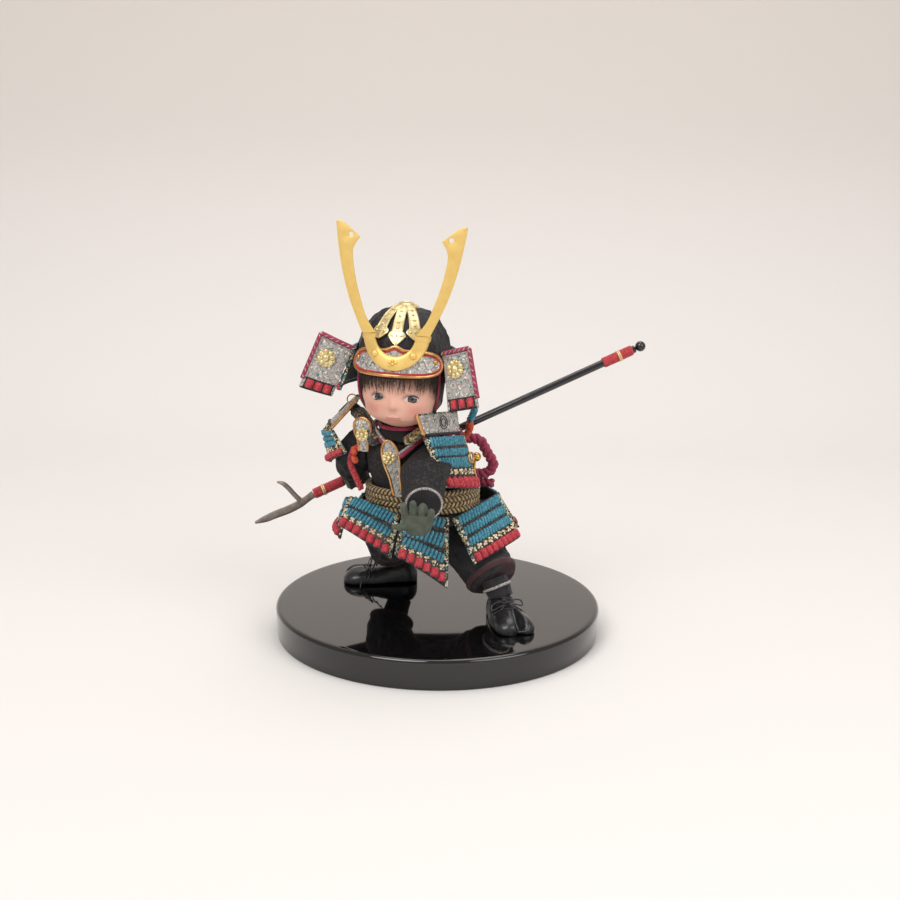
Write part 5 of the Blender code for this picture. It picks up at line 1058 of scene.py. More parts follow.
def makeCrownOrnament():
    parts, rivets, loops = [], [], []
    for k in range(96):  # scalloped ring
        angle = 2 * pi * k / 96
        wave = abs(cos(angle * 4))
        outer = 9.3 - 1.2 * (1 - wave)
        loop = []
        for share, lift in ((0.33, 0.2), (1.0, 0.2), (1.02, 0.8), (0.96, 1.35), (0.8, 1.5), (0.66, 1.75),
                (0.6, 2.5), (0.52, 2.9), (0.4, 2.9), (0.34, 2.5)):
            r = outer * share if share > 0.7 else 9.0 * share
            z = bowl["radii"][2] * sqrt(1 - (r / bowl["radii"][0]) ** 2) + lift
            loop.append(headAt(*(bowl["centre"] + Vector((r * sin(angle), -r * cos(angle), z)))))
        loops.append(loop)
    parts.append(loft(loops, closed=True))
    for azimuth, low in ridges["plates"]:
        top, foot = radians(80), radians(low)
        rows = []
        for share, wide in ridgeOutline:
            level = top + (foot - top) * share
            az = azimuth * (1.0 - 0.14 * share)
            half = ridges["width"] / 2 * wide / (bowl["radii"][0] * cos(level))
            loop = []
            for u, lift in ((-1, 0.0), (-1, 0.75), (-0.86, 1.0), (-0.66, 0.72), (-0.3, 0.85), (0, 1.0),
                    (0.3, 0.85), (0.66, 0.72), (0.86, 1.0), (1, 0.75), (1, 0.0)):
                loop.append(headAt(*domeAt(az + half * u, level, 1.25 + ridges["thick"] * lift)))
            rows.append(loop)
            if share in (0.25, 0.4, 0.55, 0.68, 0.83):
                spot = domeAt(az, level, 1.25 + ridges["thick"] * 0.9)
                out = domeAt(az, level, 3.0) - spot
                rivets.append((headAt(*spot), headTurned(*out), headTurned(0, 0, 1), (2.0, 2.0, 2.2)))
                if share == 0.83:
                    for turn in (-0.55, 0.55):
                        petal = domeAt(az + half * turn, level, 1.25 + ridges["thick"] * 0.75)
                        rivets.append((headAt(*petal), headTurned(*out), headTurned(turn * 2, 0, 1),
                            (1.9, 3.0, 1.9)))
        parts.append(loft(rows))
        for edge in (2, 8):
            parts.append(tube([row[edge] for row in rows], 0.34, 6))
        for index in (2, 4, 6):
            parts.append(tube([rows[index][k] for k in range(2, 9)], 0.26, 6))
    make("crown_plates", join(*parts), paleGilt, "gilt_metal", "crown_ornament", sharp=40)
    for k in range(16):
        angle = 2 * pi * k / 16
        r = 7.7
        z = bowl["radii"][2] * sqrt(1 - (r / bowl["radii"][0]) ** 2) + 1.35
        spot = bowl["centre"] + Vector((r * sin(angle), -r * cos(angle), z))
        rivets.append((headAt(*spot), headTurned(sin(angle) * 0.2, -cos(angle) * 0.2, 1),
            headTurned(sin(angle), -cos(angle), 0), (1.3, 1.7, 1.1)))
    makeRepeats("crown_rivets", rivets, "bead", paleGilt, "gilt_metal", jitter=0.05)


visor = {"low": 10.5, "tall": 19.0, "spread": radians(58), "flare": 5.0, "thick": 2.2, "rim": 1.3}


def visorRadius(z):
    share = (visor["low"] + visor["tall"] - z) / visor["tall"]
    rise = (visor["low"] + visor["tall"] - bowl["centre"].z) / bowl["radii"][2]
    return bowl["radii"][1] * sqrt(1 - rise ** 2) + 0.8 + visor["flare"] * share


def visorPoint(u, v, inset=0.0, depth=0.0):  # u across and v up, both -1 to 1; in the head's millimetres
    end = (1 - min(abs(u), 1.0) ** 5) ** 0.4
    half = visor["tall"] / 2 * max(end, 0.02) - inset * min(1.0, end * 1.3)
    mid = visor["low"] + visor["tall"] / 2 - 1.2 * (u * u - 0.4)
    peak = 2.8 * exp(-(u / 0.13) ** 2) * max(v, 0.0)
    z = mid + half * v + peak
    angle = u * (visor["spread"] - inset / visorRadius(visor["low"]))
    r = visorRadius(z) + depth
    return Vector((bowl["centre"].x + r * sin(angle), bowl["centre"].y - r * cos(angle), z))


def visorOutline(inset, depth, steps=30):
    us = [sin(pi / 2 * k / steps) for k in range(-steps, steps + 1)]
    return ([visorPoint(u, 1.0, inset, depth) for u in us]
            + [visorPoint(u, -1.0, inset, depth) for u in reversed(us[1:-1])])


def makeVisor():
    us = [sin(pi / 2 * k / 24) * 0.995 for k in range(-24, 25)]
    vs = [1.0, 0.8, 0.5, 0.2, -0.2, -0.5, -0.8, -1.0]
    front = [headAt(*visorPoint(u, v, 2.6, 2.0)) for v in vs for u in us]
    back = [headAt(*visorPoint(u, v, 2.6, 0.1)) for v in vs for u in us]
    count, width = len(front), len(us)
    faces = []
    for r in range(len(vs) - 1):
        for c in range(width - 1):
            k = r * width + c
            faces += [(k, k + 1, k + width + 1, k + width),
                (count + k, count + k + width, count + k + width + 1, count + k + 1)]
    ring = list(range(width)) + [r * width + width - 1 for r in range(1, len(vs))]
    ring += [(len(vs) - 1) * width + c for c in range(width - 2, -1, -1)] + [r * width
        for r in range(len(vs) - 2, 0, -1)]
    faces += [(a, b, count + b, count + a) for a, b in zip(ring, ring[1:] + ring[:1])]
    make("visor_brocade", (front + back, faces), silverBrocade, "silver_brocade", "visor", sharp=50)
    outline = [headAt(*p) for p in visorOutline(visor["rim"], visor["thick"] / 2)]
    make("visor_band", tube(outline, visor["rim"], 12, True), copperGilt, "gilt_metal", "visor_rim")
    lining = [headAt(*p) for p in visorOutline(3.0, 2.0)]
    make("visor_piping", rope(lining, 0.65, 2.2, 2, 6, True), redCord, "red_cord")
    studs = []
    for u, v in ((-0.86, 0.35), (0.86, 0.35)):
        spot, away = visorPoint(u, v, 2.6, 2.2), visorPoint(u, v, 2.6, 4.0)
        studs.append((headAt(*spot), headTurned(*(away - spot)), headTurned(0, 0, 1), (3.4, 3.4, 3.4)))
    makeRepeats("visor_studs", studs, "bead", gilt, "gilt_metal")


crest = {"half": 18.5, "top": 39.5, "drop": 18.8, "width": 9.2, "thick": 2.4, "lip": (1.14, 1.3)}
horn = {"thick": 1.6, "eye": (34.3, 104.8), "eyeRadius": 1.7, "lean": 0.09}
hornOuter = ((23.6, 40.0), (28.2, 50.0), (33.0, 61.0), (37.2, 73.5), (40.9, 88.0), (43.9, 105.0),
    (45.0, 114.0))
hornTop = ((39.5, 112.6), (35.0, 109.2), (32.5, 107.3), (28.0, 103.4))
hornInner = ((31.1, 99.0), (32.6, 94.0), (31.9, 86.0), (29.1, 73.0), (24.6, 59.0), (20.8, 49.5), (14.2, 40.0))


def crestDepth(x, z, lift):
    level = min(max(z, visor["low"]), visor["low"] + visor["tall"])
    r = visorRadius(level) + visor["thick"] + 0.45 + lift
    return bowl["centre"].y - sqrt(max(r * r - x * x * 0.8, 1.0))


def makeCrestSocket():
    loops, steps = [], 64
    for k in range(steps + 1):
        angle = pi * (k / steps - 0.5)
        x, z = crest["half"] * sin(angle), crest["top"] - crest["drop"] * cos(angle)
        tangent = Vector((crest["half"] * cos(angle), 0, crest["drop"] * sin(angle))).normalized()
        across = Vector((-tangent.z, 0, tangent.x))
        near = min(k, steps - k)
        lip = 1.0 if near <= 3 else 0.0
        half = crest["width"] / 2 * (1 + (crest["lip"][0] - 1) * lip)
        thick = crest["thick"] * (1 + (crest["lip"][1] - 1) * lip)
        loop = []
        for side, lift in ((-1, 0.0), (1, 0.0), (1, 0.55), (0.93, 0.8), (0.78, 0.95), (0.5, 1.0), (0, 1.03),
                (-0.5, 1.0), (-0.78, 0.95), (-0.93, 0.8), (-1, 0.55)):
            px, pz = x + across.x * half * side, z + across.z * half * side
            loop.append(headAt(px, crestDepth(px, pz, 0.0) - thick * lift, pz))
        loops.append(loop)
    make("crest_sleeve", loft(loops), hornGilt, "gilt_metal", "crest_socket", sharp=40)
    studs, petals = [], []
    for angle in (-46, 46):
        x = crest["half"] * sin(radians(angle))
        z = crest["top"] - crest["drop"] * cos(radians(angle))
        studs.append((headAt(x, crestDepth(x, z, crest["thick"]) + 0.1, z), headTurned(x * 0.02, -1, 0),
            headTurned(0, 0, 1), (5.4, 5.4, 4.6)))
    low = crest["top"] - crest["drop"]
    centre = Vector((0, crestDepth(0, low, crest["thick"]) + 0.1, low))
    studs.append((headAt(*centre), headTurned(0, -1, 0), headTurned(0, 0, 1), (2.8, 2.8, 4.0)))
    for k in range(6):
        angle = pi * k / 3
        spot = centre + Vector((2.2 * sin(angle), 0, 2.2 * cos(angle)))
        petals.append((headAt(*spot), headTurned(0, -1, 0), headTurned(sin(angle), 0, cos(angle)),
            (2.3, 2.4, 3.0)))
    makeRepeats("crest_rivets", studs, "bead", hornGilt, "gilt_metal")
    makeRepeats("crest_flower", petals, "petal", hornGilt, "gilt_metal")


def makeHorn(name, node, side):  # flat plate with rounded edges, notched tip and a pierced eye
    def smoothEdge(points, steps):
        return [(p.x, p.z) for p in curveThrough([Vector((x, 0, z)) for x, z in points], steps)]
    outline = smoothEdge(hornOuter, 6) + smoothEdge(hornTop, 3) + smoothEdge(hornInner, 6)
    outline = [(x, max(z, crest["top"] - 1.5)) for x, z in outline]
    shape = bmesh.new()
    root = crestDepth(crest["half"], visor["low"] + visor["tall"], crest["thick"] / 2)
    edge = [shape.verts.new((side * x, 0, z)) for x, z in outline]
    shape.faces.new(edge)
    hole = [shape.verts.new((side * (horn["eye"][0] + horn["eyeRadius"] * cos(a)), 0, horn["eye"][1]
        + horn["eyeRadius"] * sin(a))) for a in (2 * pi * k / 20 for k in range(20))]
    for a, b in zip(hole, hole[1:] + hole[:1]):
        shape.edges.new((a, b))
    bmesh.ops.delete(shape, geom=list(shape.faces), context="FACES_ONLY")
    filled = bmesh.ops.triangle_fill(shape, edges=list(shape.edges), use_beauty=True)
    flat = [item for item in filled["geom"] if isinstance(item, bmesh.types.BMFace)]
    pushed = bmesh.ops.extrude_face_region(shape, geom=flat)
    for item in pushed["geom"]:
        if isinstance(item, bmesh.types.BMVert):
            item.co.y += horn["thick"]
    bmesh.ops.recalc_face_normals(shape, faces=shape.faces)
    rims = [e for e in shape.edges if len(e.link_faces) == 2 and e.calc_face_angle(0) > 1.2]
    bmesh.ops.bevel(shape, geom=rims, offset=0.28, segments=2, affect="EDGES", profile=0.6)
    for v in shape.verts:
        y = root + max(v.co.z - crest["top"], 0) * horn["lean"] + v.co.y - horn["thick"] / 2
        v.co = headAt(v.co.x, y, v.co.z)
    mesh = bpy.data.meshes.new(name)
    shape.to_mesh(mesh)
    shape.free()
    mesh.shade_smooth()
    mesh.set_sharp_from_angle(angle=radians(38))
    mesh.materials.append(hornGilt)
    piece = bpy.data.objects.new(name, mesh)
    bpy.context.scene.collection.objects.link(piece)
    keep(piece, "horn_gilt", node)


neckGuard = {"top": 26.2, "tall": 32.0, "thick": 2.2, "flare": 10.5,
    "start": {-1: radians(70), 1: radians(60)}, "lames": ((0.0, 0.34), (0.33, 0.66), (0.65, 1.0))}


def guardRadius(z):
    return bowl["radii"][1] + 0.3 + neckGuard["flare"] * (neckGuard["top"] - z) / neckGuard["tall"]


def guardAngle(u):
    starts = neckGuard["start"]
    return starts[1] + (2 * pi - starts[1] - starts[-1]) * u


def guardPoint(u, share, depth):
    z = neckGuard["top"] - neckGuard["tall"] * share
    angle, r = guardAngle(u), guardRadius(z) + depth
    return Vector((bowl["centre"].x + r * sin(angle), bowl["centre"].y - r * cos(angle), z))


def makeNeckGuard():  # three flared lames laced in teal, black inside, with a red-laced foot
    loops = []
    for k in range(73):
        u = k / 72
        profile = []
        for top, low in neckGuard["lames"]:
            profile += [(top + 0.01, 0.9), (low - 0.06, 1.15), (low, 1.3)]
        loop = [headAt(*guardPoint(u, share, depth)) for share, depth in profile]
        loop += [headAt(*guardPoint(u, share, 0.05)) for share in (1.0, 0.66, 0.33, 0.0)]
        loops.append(loop)
    make("neck_lames", loft(loops), blackCloth, "teal_lacing", "neck_guard", sharp=35)
    cords, tufts, braids, borders = [], [], [], []
    arc = guardAngle(1) - guardAngle(0)
    for index, (top, low) in enumerate(neckGuard["lames"]):
        middle = (top + low) / 2 - 0.02
        radius = guardRadius(neckGuard["top"] - neckGuard["tall"] * middle)
        count = round(radius * arc / 2.9)
        tall = (low - top) * neckGuard["tall"] * 0.6
        for k in range(count):
            u = 0.02 + 0.96 * (k + 0.5) / count
            spot, away = guardPoint(u, middle, 1.0), guardPoint(u, middle, 3.0)
            over = guardPoint(u + 0.003, top, 1.0) - guardPoint(u, low, 1.0)
            cords.append((headAt(*spot), headTurned(*(away - spot)), headTurned(*over),
                (2.75, tall * 1.1, 3.2)))
        line = [headAt(*guardPoint(0.01 + 0.98 * k / 48, low - 0.045, 1.6)) for k in range(49)]
        braids.append(rope(line, 0.85, 2.6, 2, 5))
        if index == len(neckGuard["lames"]) - 1:
            count = round(radius * arc / 5.6)
            for k in range(count):
                u = (k + 0.5) / count
                spot, away = guardPoint(u, 0.955, 1.2), guardPoint(u, 0.955, 3.0)
                tufts.append((headAt(*spot), headTurned(*(away - spot)), headTurned(0, 0, 1),
                    (5.3, 3.4, 4.4)))
    for u in (0.0, 1.0):
        line = [headAt(*guardPoint(u, 0.02 + 0.96 * k / 16, 1.1)) for k in range(17)]
        borders.append(rope(line, 0.95, 2.6, 2, 6))
    makeRepeats("neck_lacing", cords, "cord", tealSilk, "teal_lacing", jitter=0.06, seed=41)
    makeRepeats("neck_tufts", tufts, "block", redSilk, "red_cord", jitter=0.06, seed=42)
    make("neck_braids", join(*braids), nightBraid, "black_cloth")
    make("neck_edging", join(*borders), edgeBraid, "gold_brocade")


wings = {"thick": 2.2, "rootZ": {-1: 24.5, 1: 26.5}, "shift": {-1: (0.0, 0.0, 0.0), 1: (0.0, -0.9, 0.0)},
    "boss": {-1: (0.4, 0.36), 1: (0.42, 0.3)}}
wingReach = {  # from the root's top to the outer top, the outer foot and the root's foot
    -1: ((-21.8, -4.5, 9.7), (-36.3, -7.9, -28.7), (-13.6, -2.1, -35.0)),
    1: ((18.3, -4.7, 6.0), (28.4, -12.6, -33.0), (6.7, -8.6, -39.0)),
}


def wingCorners(side):
    z, start = wings["rootZ"][side], neckGuard["start"][side]
    r = guardRadius(z) + neckGuard["thick"] + 0.3
    root = Vector((side * r * sin(start), bowl["centre"].y - r * cos(start), z))
    root += Vector(wings["shift"][side])
    topOut, lowOut, lowIn = [root + Vector(reach) for reach in wingReach[side]]
    corners = [topOut, root, lowIn, lowOut] if side < 0 else [root, topOut, lowOut, lowIn]
    return [headAt(*c) for c in corners]


flower = {"petals": 8, "reach": 0.66, "wide": 0.56, "long": 0.62, "lift": 3.2}


def makeBoss(name, node, centre, out, up, radius, finish):
    # flower boss: two rings of petals round a stamped heart
    side = up.cross(out).normalized()
    up = out.cross(side).normalized()
    loops = []
    for share, lift in ((0.98, 0.0), (1.0, 0.35), (0.9, 0.55), (0.6, 0.5)):
        loop = []
        for k in range(64):
            angle = 2 * pi * k / 64
            wave = 1.0 - 0.12 * abs(sin(angle * 4)) ** 0.7 if share > 0.7 else 1.0
            loop.append(centre + (side * cos(angle) + up * sin(angle)) * radius * share * wave * mm + out
                * lift * mm)
        loops.append(loop)
    make(name + "_plate", loft(loops), finish, "gilt_metal", node, sharp=50)
    petals = []
    for k in range(flower["petals"]):
        angle = 2 * pi * (k + 0.5) / flower["petals"]
        spoke = side * cos(angle) + up * sin(angle)
        petals.append((centre + spoke * radius * flower["reach"] * mm + out * 0.0004, out, spoke,
            (radius * flower["wide"], radius * flower["long"], flower["lift"])))
    petals.append((centre + out * 0.0006, out, up, (radius * 0.86, radius * 0.8, flower["lift"] * 2)))
    makeRepeats(name + "_petals", petals, "petal", finish, "gilt_metal")


def makeWing(side):
    name = "wing_right" if side < 0 else "wing_left"
    node = "right_wing" if side < 0 else "left_wing"
    corners = wingCorners(side)
    surface = flatSurface(corners, 1.0)
    width = (corners[1] - corners[0]).length * 1000
    tall = ((corners[0] - corners[3]).length + (corners[1] - corners[2]).length) * 500
    make(name + "_board", slabOf(surface, wings["thick"] - 0.3, 20, 16), silverBrocade, "silver_brocade",
         node, sharp=45)
    outer = 0.0 if side < 0 else 1.0

    def along(points, lift):
        return [surface(u, v)[0] + surface(u, v)[1] * lift * mm for u, v in points]
    top = [(k / 12, 0.0) for k in range(13)]
    outside = [(outer, k / 16 * 0.84) for k in range(17)]
    route = outside[::-1] + (top if side < 0 else top[::-1])
    make(name + "_piping", tube(curveThrough(along(route, 0.4), 2), 1.7, 10), crimsonCloth, "crimson_cord")
    inner = [(abs(outer - 0.075), 0.82 - 0.75 * k / 16) for k in range(17)]
    inner += [(0.075 + 0.85 * (k / 12 if side < 0 else 1 - k / 12), 0.055) for k in range(13)]
    make(name + "_cord", rope(along(inner, 1.3), 0.6, 2.0, 2, 6), silverCord, "silver_cord")
    stitches = []
    for k, (u, v) in enumerate(route):
        if k % 2:
            spot, out = surface(u, v)
            ahead = surface(*route[min(k + 1, len(route) - 1)])[0] - surface(*route[k - 1])[0]
            stitches.append((spot + out * 0.002, out, ahead + out.cross(ahead) * 0.8, (0.7, 2.6, 0.8)))
    makeRepeats(name + "_stitches", stitches, "strand", silverCord, "silver_cord", seed=7)
    blocks, seams = [], []
    count = 3
    for k in range(count):
        u = 0.12 + 0.26 * k + 0.13
        spot, out = surface(u, 0.885)
        up = surface(u, 0.8)[0] - surface(u, 0.96)[0]
        blocks.append((spot + out * (wings["thick"] / 2 - 0.2) * mm, out, up,
            (width * 0.235, tall * 0.15, 4.4)))
    makeRepeats(name + "_tufts", blocks, "block", redSilk, "red_cord", jitter=0.04, seed=3)
    for v in (0.8, 0.985):
        line = along([(0.05 + 0.9 * k / 14, v) for k in range(15)], 1.3)
        seams.append(rope(line, 0.75, 2.4, 2, 6))
    for k in range(count + 1):
        u = 0.12 + 0.26 * k
        seams.append(tube(along([(u, 0.81), (u, 0.89), (u, 0.97)], 1.3), 0.55, 6))
    make(name + "_seams", join(*seams), blackCord, "black_cloth")
    u, v = wings["boss"][side]
    centre, out = surface(u, v)
    makeBoss(name + "_boss", node + "_boss", centre + out * 0.0014, out, surface(u, v - 0.1)[0] - centre, 6.6,
        paleGilt)


def makeHeadCords():
    cheek = ((-28.4, -9.5, 14.0), (-28.6, -10.0, 2.0), (-27.2, -8.5, -8.5), (-24.4, -1.0, -18.3),
        (-18.2, 5.0, -25.4), (-10.2, 6.5, -30.1), (0.0, 6.0, -31.2))
    points = [headAt(*p) for p in cheek] + [headAt(-x, y, z) for x, y, z in reversed(cheek[:-1])]
    make("chin_braid", rope(curveThrough(points, 6), 0.9, 2.8, 3, 6), crimsonCord, "red_cord", "chin_cord")


makeHead()
makeEyes()
makeHair()
makeBowl()
makeCrownOrnament()
makeVisor()
makeCrestSocket()
makeHorn("horn_right", "right_horn", -1)
makeHorn("horn_left", "left_horn", 1)
makeNeckGuard()
makeWing(-1)
makeWing(1)
makeHeadCords()
print("head and helmet made")

# Shoulder caps, chest plates, collars, belt and cords

caps = {
    "left": (at(-16.0, -54, 153.2), at(12.1, -12, 146.3), at(14.3, -15, 131.7), at(-11.2, -53, 138.6)),
    "right": (at(-57.0, 22, 150.0), at(-58.9, -8, 153.0), at(-77.0, -9, 133.0), at(-78.0, 24, 130.0)),
}


def makeCap(side):
    surface = flatSurface(caps[side])
    make("cap_" + side, slabOf(surface, 1.9), silverBrocade, "silver_brocade", side + "_shoulder_cap",
         sharp=45)
    rodAt = 0.0 if side == "left" else 1.0
    rod = [surface(rodAt, k / 8)[0] + surface(rodAt, k / 8)[1] * 0.0005 for k in range(9)]
    ends = [rod[0] * 1.04 - rod[1] * 0.04] + rod
    make("cap_rod_" + side, tube(ends, 1.25, 12), copperGilt, "gilt_metal")
    border = [surface(k / 12, 0.0)[0] for k in range(13)]
    border += [surface(1.0 - rodAt, k / 8)[0] for k in range(9)] if side == "left" else []
    make("cap_border_" + side, rope(border, 0.95, 2.6, 2, 6), edgeBraid, "gold_brocade")
    foot = [surface(0.02 + 0.96 * k / 12, 0.98)[0] + surface(0.5, 0.98)[1] * 0.0012 for k in range(13)]
    make("cap_foot_" + side, rope(foot, 0.9, 2.4, 2, 6), blackCord, "black_cloth")
    centre, out = surface(0.5, 0.45)
    up = surface(0.5, 0.3)[0] - centre
    across = up.cross(out).normalized()
    up.normalize()
    rings = []
    for radius in (4.6, 2.7):  # woven roundel, two couched rings
        line = circle(centre + out * 0.0011, across * radius * mm, up * radius * mm, 40)
        rings.append(tube(line, 0.32, 6, True))
    make("cap_roundel_" + side, join(*rings), blackCord, "black_cloth")


def leafPlate(name, node, top, bottom, across, out, width):
    shares = ((0.0, 0.28), (0.03, 0.5), (0.06, 0.66), (0.11, 0.84), (0.16, 0.94), (0.23, 0.99), (0.3, 1.0),
        (0.38, 0.98), (0.45, 0.92), (0.54, 0.78), (0.62, 0.66), (0.72, 0.59), (0.82, 0.56), (1.0, 0.5))
    axis = bottom - top
    rows, left, right = [], [], []
    for share, wide in shares:
        centre = top + axis * share
        half = across * width * 0.0005 * wide
        row = [centre + half * u + out * lift * mm for u,
            lift in ((-0.94, 0.2), (-0.94, 1.0), (-0.6, 1.35), (-0.2, 1.6), (0.2, 1.6), (0.6, 1.35),
            (0.94, 1.0), (0.94, 0.2))]
        rows.append(row)
        left.append(centre - half * 0.93 + out * 0.001)
        right.append(centre + half * 0.93 + out * 0.001)
    make(name + "_field", loft(rows), silverBrocade, "silver_brocade", node, sharp=50)
    rim = curveThrough(left[::-1] + [top + out * 0.001 - axis * 0.012] + right, 3)
    make(name + "_rim", tube(rim, 0.95, 10), copperGilt, "gilt_metal")


def circleRope(centre, axis, radius, thick, pitch):
    side = axis.orthogonal().normalized()
    up = axis.normalized().cross(side)
    line = circle(centre, side * radius * mm, up * radius * mm, 60)
    return rope(line, thick, pitch, 2, 6, True)


def makeChest():
    ahead = Vector((0, -1, 0.1)).normalized()
    aside, across = Vector((-0.3, -1, 0.1)).normalized(), Vector((1, -0.3, 0)).normalized()
    leafPlate("chest_centre", "centre_chest_plate", at(-36.2, -33.8, 130.0), at(-28.6, -34.6, 89.5),
        Vector((1, 0, 0)), ahead, 12.5)
    leafPlate("chest_right", "right_chest_plate", at(-54.4, -22.5, 144.0), at(-53.4, -25.5, 120.5), across,
        aside, 13.5)
    makeBoss("boss_centre", "centre_chest_boss", at(-35.4, -35.6, 118.2), ahead, Vector((0, 0, 1)), 4.9,
        paleGilt)
    makeBoss("boss_right", "right_chest_boss", at(-54.6, -25.4, 132.4), aside, Vector((0, 0, 1)), 4.9,
        paleGilt)
    collar = [at(*p) for p in ((-28, -35.5, 119), (-18, -33.5, 127), (-8.5, -25, 133.5), (-5, -12, 136),
        (-11, 1, 135.5), (-26, 6, 134.5), (-40, 1, 135.5), (-46, -12, 136), (-43.5, -25, 133),
        (-37, -33, 126.5))]
    line = curveThrough(collar, 5)
    make("collar_crimson", tube(line, 2.2, 12, flat=0.75), crimsonCloth, "crimson_cord", "robe_collar")
    trim = [p + Vector((p.x - headCentre.x, p.y - headCentre.y, 0)).normalized() * 0.0009
            + Vector((0, 0, 0.0026)) for p in line]
    make("collar_braid", rope(trim, 1.15, 3.0, 2, 6), silverCord, "silver_cord")
    ring = circle(at(-26.7, -17.0, 138.2), Vector((0.0155, 0, 0)), Vector((0, 0.0145, 0)), 48)
    make("under_collar_edge", tube(ring, 1.5, 10, True), crimsonCloth, "crimson_cord")
    walls = [circle(at(-26.7, -17.0, z), Vector((r * mm, 0, 0)), Vector((0, (r - 1) * mm, 0)), 48) for z,
        r in ((130.0, 11.0), (138.0, 11.0), (138.6, 12.5), (138.0, 15.3), (130.0, 17.5))]
    make("under_collar_stand", loft(walls, closed=True), blackCloth, "black_cloth", sharp=50)


belt = {"centre": at(-11.5, 0.5, 83.0), "radii": (37.0, 27.0), "ropes": 4, "tall": 17.5, "pitch": 6.4}


def makeBelt():  # flat plait of four ropes, each pair laid opposite ways so that their plies form chevrons
    radius = belt["tall"] / belt["ropes"] / 2
    light, dark = [], []
    for k in range(belt["ropes"]):
        rise = belt["tall"] / 2 - radius * (2 * k + 1)
        reach = [r + 0.7 + radius * 0.95 for r in belt["radii"]]
        line = circle(belt["centre"] + Vector((0, 0, rise * mm)), Vector((reach[0] * mm, 0, 0)),
            Vector((0, reach[1] * mm, 0)), 80)
        path = evenly(line, belt["pitch"] * mm / 9, True)
        length = sum((b - a).length for a, b in zip(path, path[1:]))
        turns = round(length / (belt["pitch"] * mm))
        hand = 1 if k % 2 else -1
        for ply in range(4):
            strand = []
            for n, (p, (_, side, up)) in enumerate(zip(path, carried(path, True))):
                angle = hand * 2 * pi * turns * n / len(path) + pi / 2 * ply
                strand.append(p + (side * cos(angle) + up * sin(angle)) * radius * 0.56 * mm)
            (dark if ply % 2 else light).append(tube(strand, radius * 0.56, 6, True))
    make("belt_plait_light", join(*light), ropeCord, "rope", "rope_belt")
    make("belt_plait_dark", join(*dark), brownCord, "rope")


cuff = {"centre": at(-10.5, -67.0, 94.0), "axis": Vector((0.5, -10.0, -2.5)).normalized(), "radius": 12.2,
        "cord": 1.05, "pitch": 2.8}
cuffLining = ((1.4, 9.8), (1.7, 10.6), (1.6, 12.0), (0.3, 13.0), (-2.0, 13.3), (-2.2, 12.4))  # depth, radius


def makeSleeveFittings():
    axis, centre = cuff["axis"], cuff["centre"]
    make("cuff_cord", circleRope(centre + axis * 0.0008, axis, cuff["radius"], cuff["cord"], cuff["pitch"]),
         silverCord, "silver_cord", "left_cuff")
    side = axis.orthogonal().normalized()
    up = axis.cross(side)
    rows = [circle(centre + axis * depth * mm, side * r * mm, up * r * mm, 40) for depth,
            r in cuffLining]
    make("cuff_lining", loft(rows), blackCloth, "black_cloth", sharp=60)


bowKnot = (3.0, 22.0, 106.0)
bowLoops = ((bowKnot, (10, 23.0, 112), (21, 24.5, 118.5), (31, 25, 116.5), (36, 25, 108), (41, 25, 99),
    (37.5, 25, 92.5), (28, 24.5, 91.5), (14, 23.5, 98), bowKnot),
    (bowKnot, (-6, 23.0, 112), (-17, 23.5, 117), (-27, 23.5, 113), (-31, 23.5, 104), (-25, 23.5, 96),
    (-12, 23, 98), bowKnot))
bowTails = (
    (bowKnot, (14, 24, 93), (28, 25.5, 85.5), (41, 26, 83.5)), (bowKnot, (-8, 24, 95), (-14, 26, 86)),
    ((19.5, 21, 118), (13, 20.5, 125), (7, 19.5, 124), (8, 20.5, 115), (15, 22, 110)))


def makeBackBow():  # twisted cord in two loops and two tails, with a short loop over the knot that binds them
    parts = []
    for lines, radius, pitch in ((bowLoops, 4.1, 9.5), (bowTails, 3.5, 9.0)):
        parts += [rope(trail(line), radius, pitch, 2, 10) for line in lines]
    for k in (-1, 0, 1):
        wrap = circle(at(*bowKnot) + Vector((k * 0.0026, 0, 0)), Vector((0, 0.0046, 0)),
            Vector((0, 0, 0.0054)), 24)
        parts.append(tube(wrap, 1.7, 8, True))
    make("bow_plait", join(*parts), crimsonCord, "crimson_cord", "back_bow")


def makeNeckCords():
    teal = trail(((20.0, 5.0, 162), (24.5, 9.0, 151), (26.0, 13.0, 143), (23.0, 17.0, 134)))
    red = trail(((22.8, 17.2, 133.6), (23.0, 19.5, 127), (19, 22.5, 119)))
    make("neck_cord_teal", rope(teal, 2.8, 7.5, 3, 8), tealCord, "teal_lacing", "teal_cord")
    make("neck_cord_red", rope(red, 2.8, 7.0, 3, 8), orangeCord, "red_cord", "red_cord")


def makeSideCord():
    line = trail(((-57, -20.5, 123), (-62, -15.5, 117), (-63.5, -13, 108), (-60, -11, 98), (-56, -12, 89)))
    make("side_cord", rope(line, 2.35, 6.5, 3, 8), redCord, "red_cord", "right_side_cord")
    parts = []
    for base, axis in ((at(-61.5, -19.5, 122.5), Vector((0.3, 0, -1))),
            (at(-61.5, -16.8, 115.5), Vector((0.4, 0, -1)))):
        run = axis.normalized()
        side = run.orthogonal().normalized()
        up = run.cross(side)
        rows = []
        for t, r in ((0.0, 0.8), (0.06, 1.5), (0.2, 2.2), (0.5, 2.45), (0.8, 2.2), (0.94, 1.5), (1.0, 0.8)):
            rows.append(circle(base + run * 0.0065 * t, side * r * mm, up * r * mm, 20))
        parts.append(loft(rows))
    make("toggles", join(*parts), orangeCord, "red_cord")


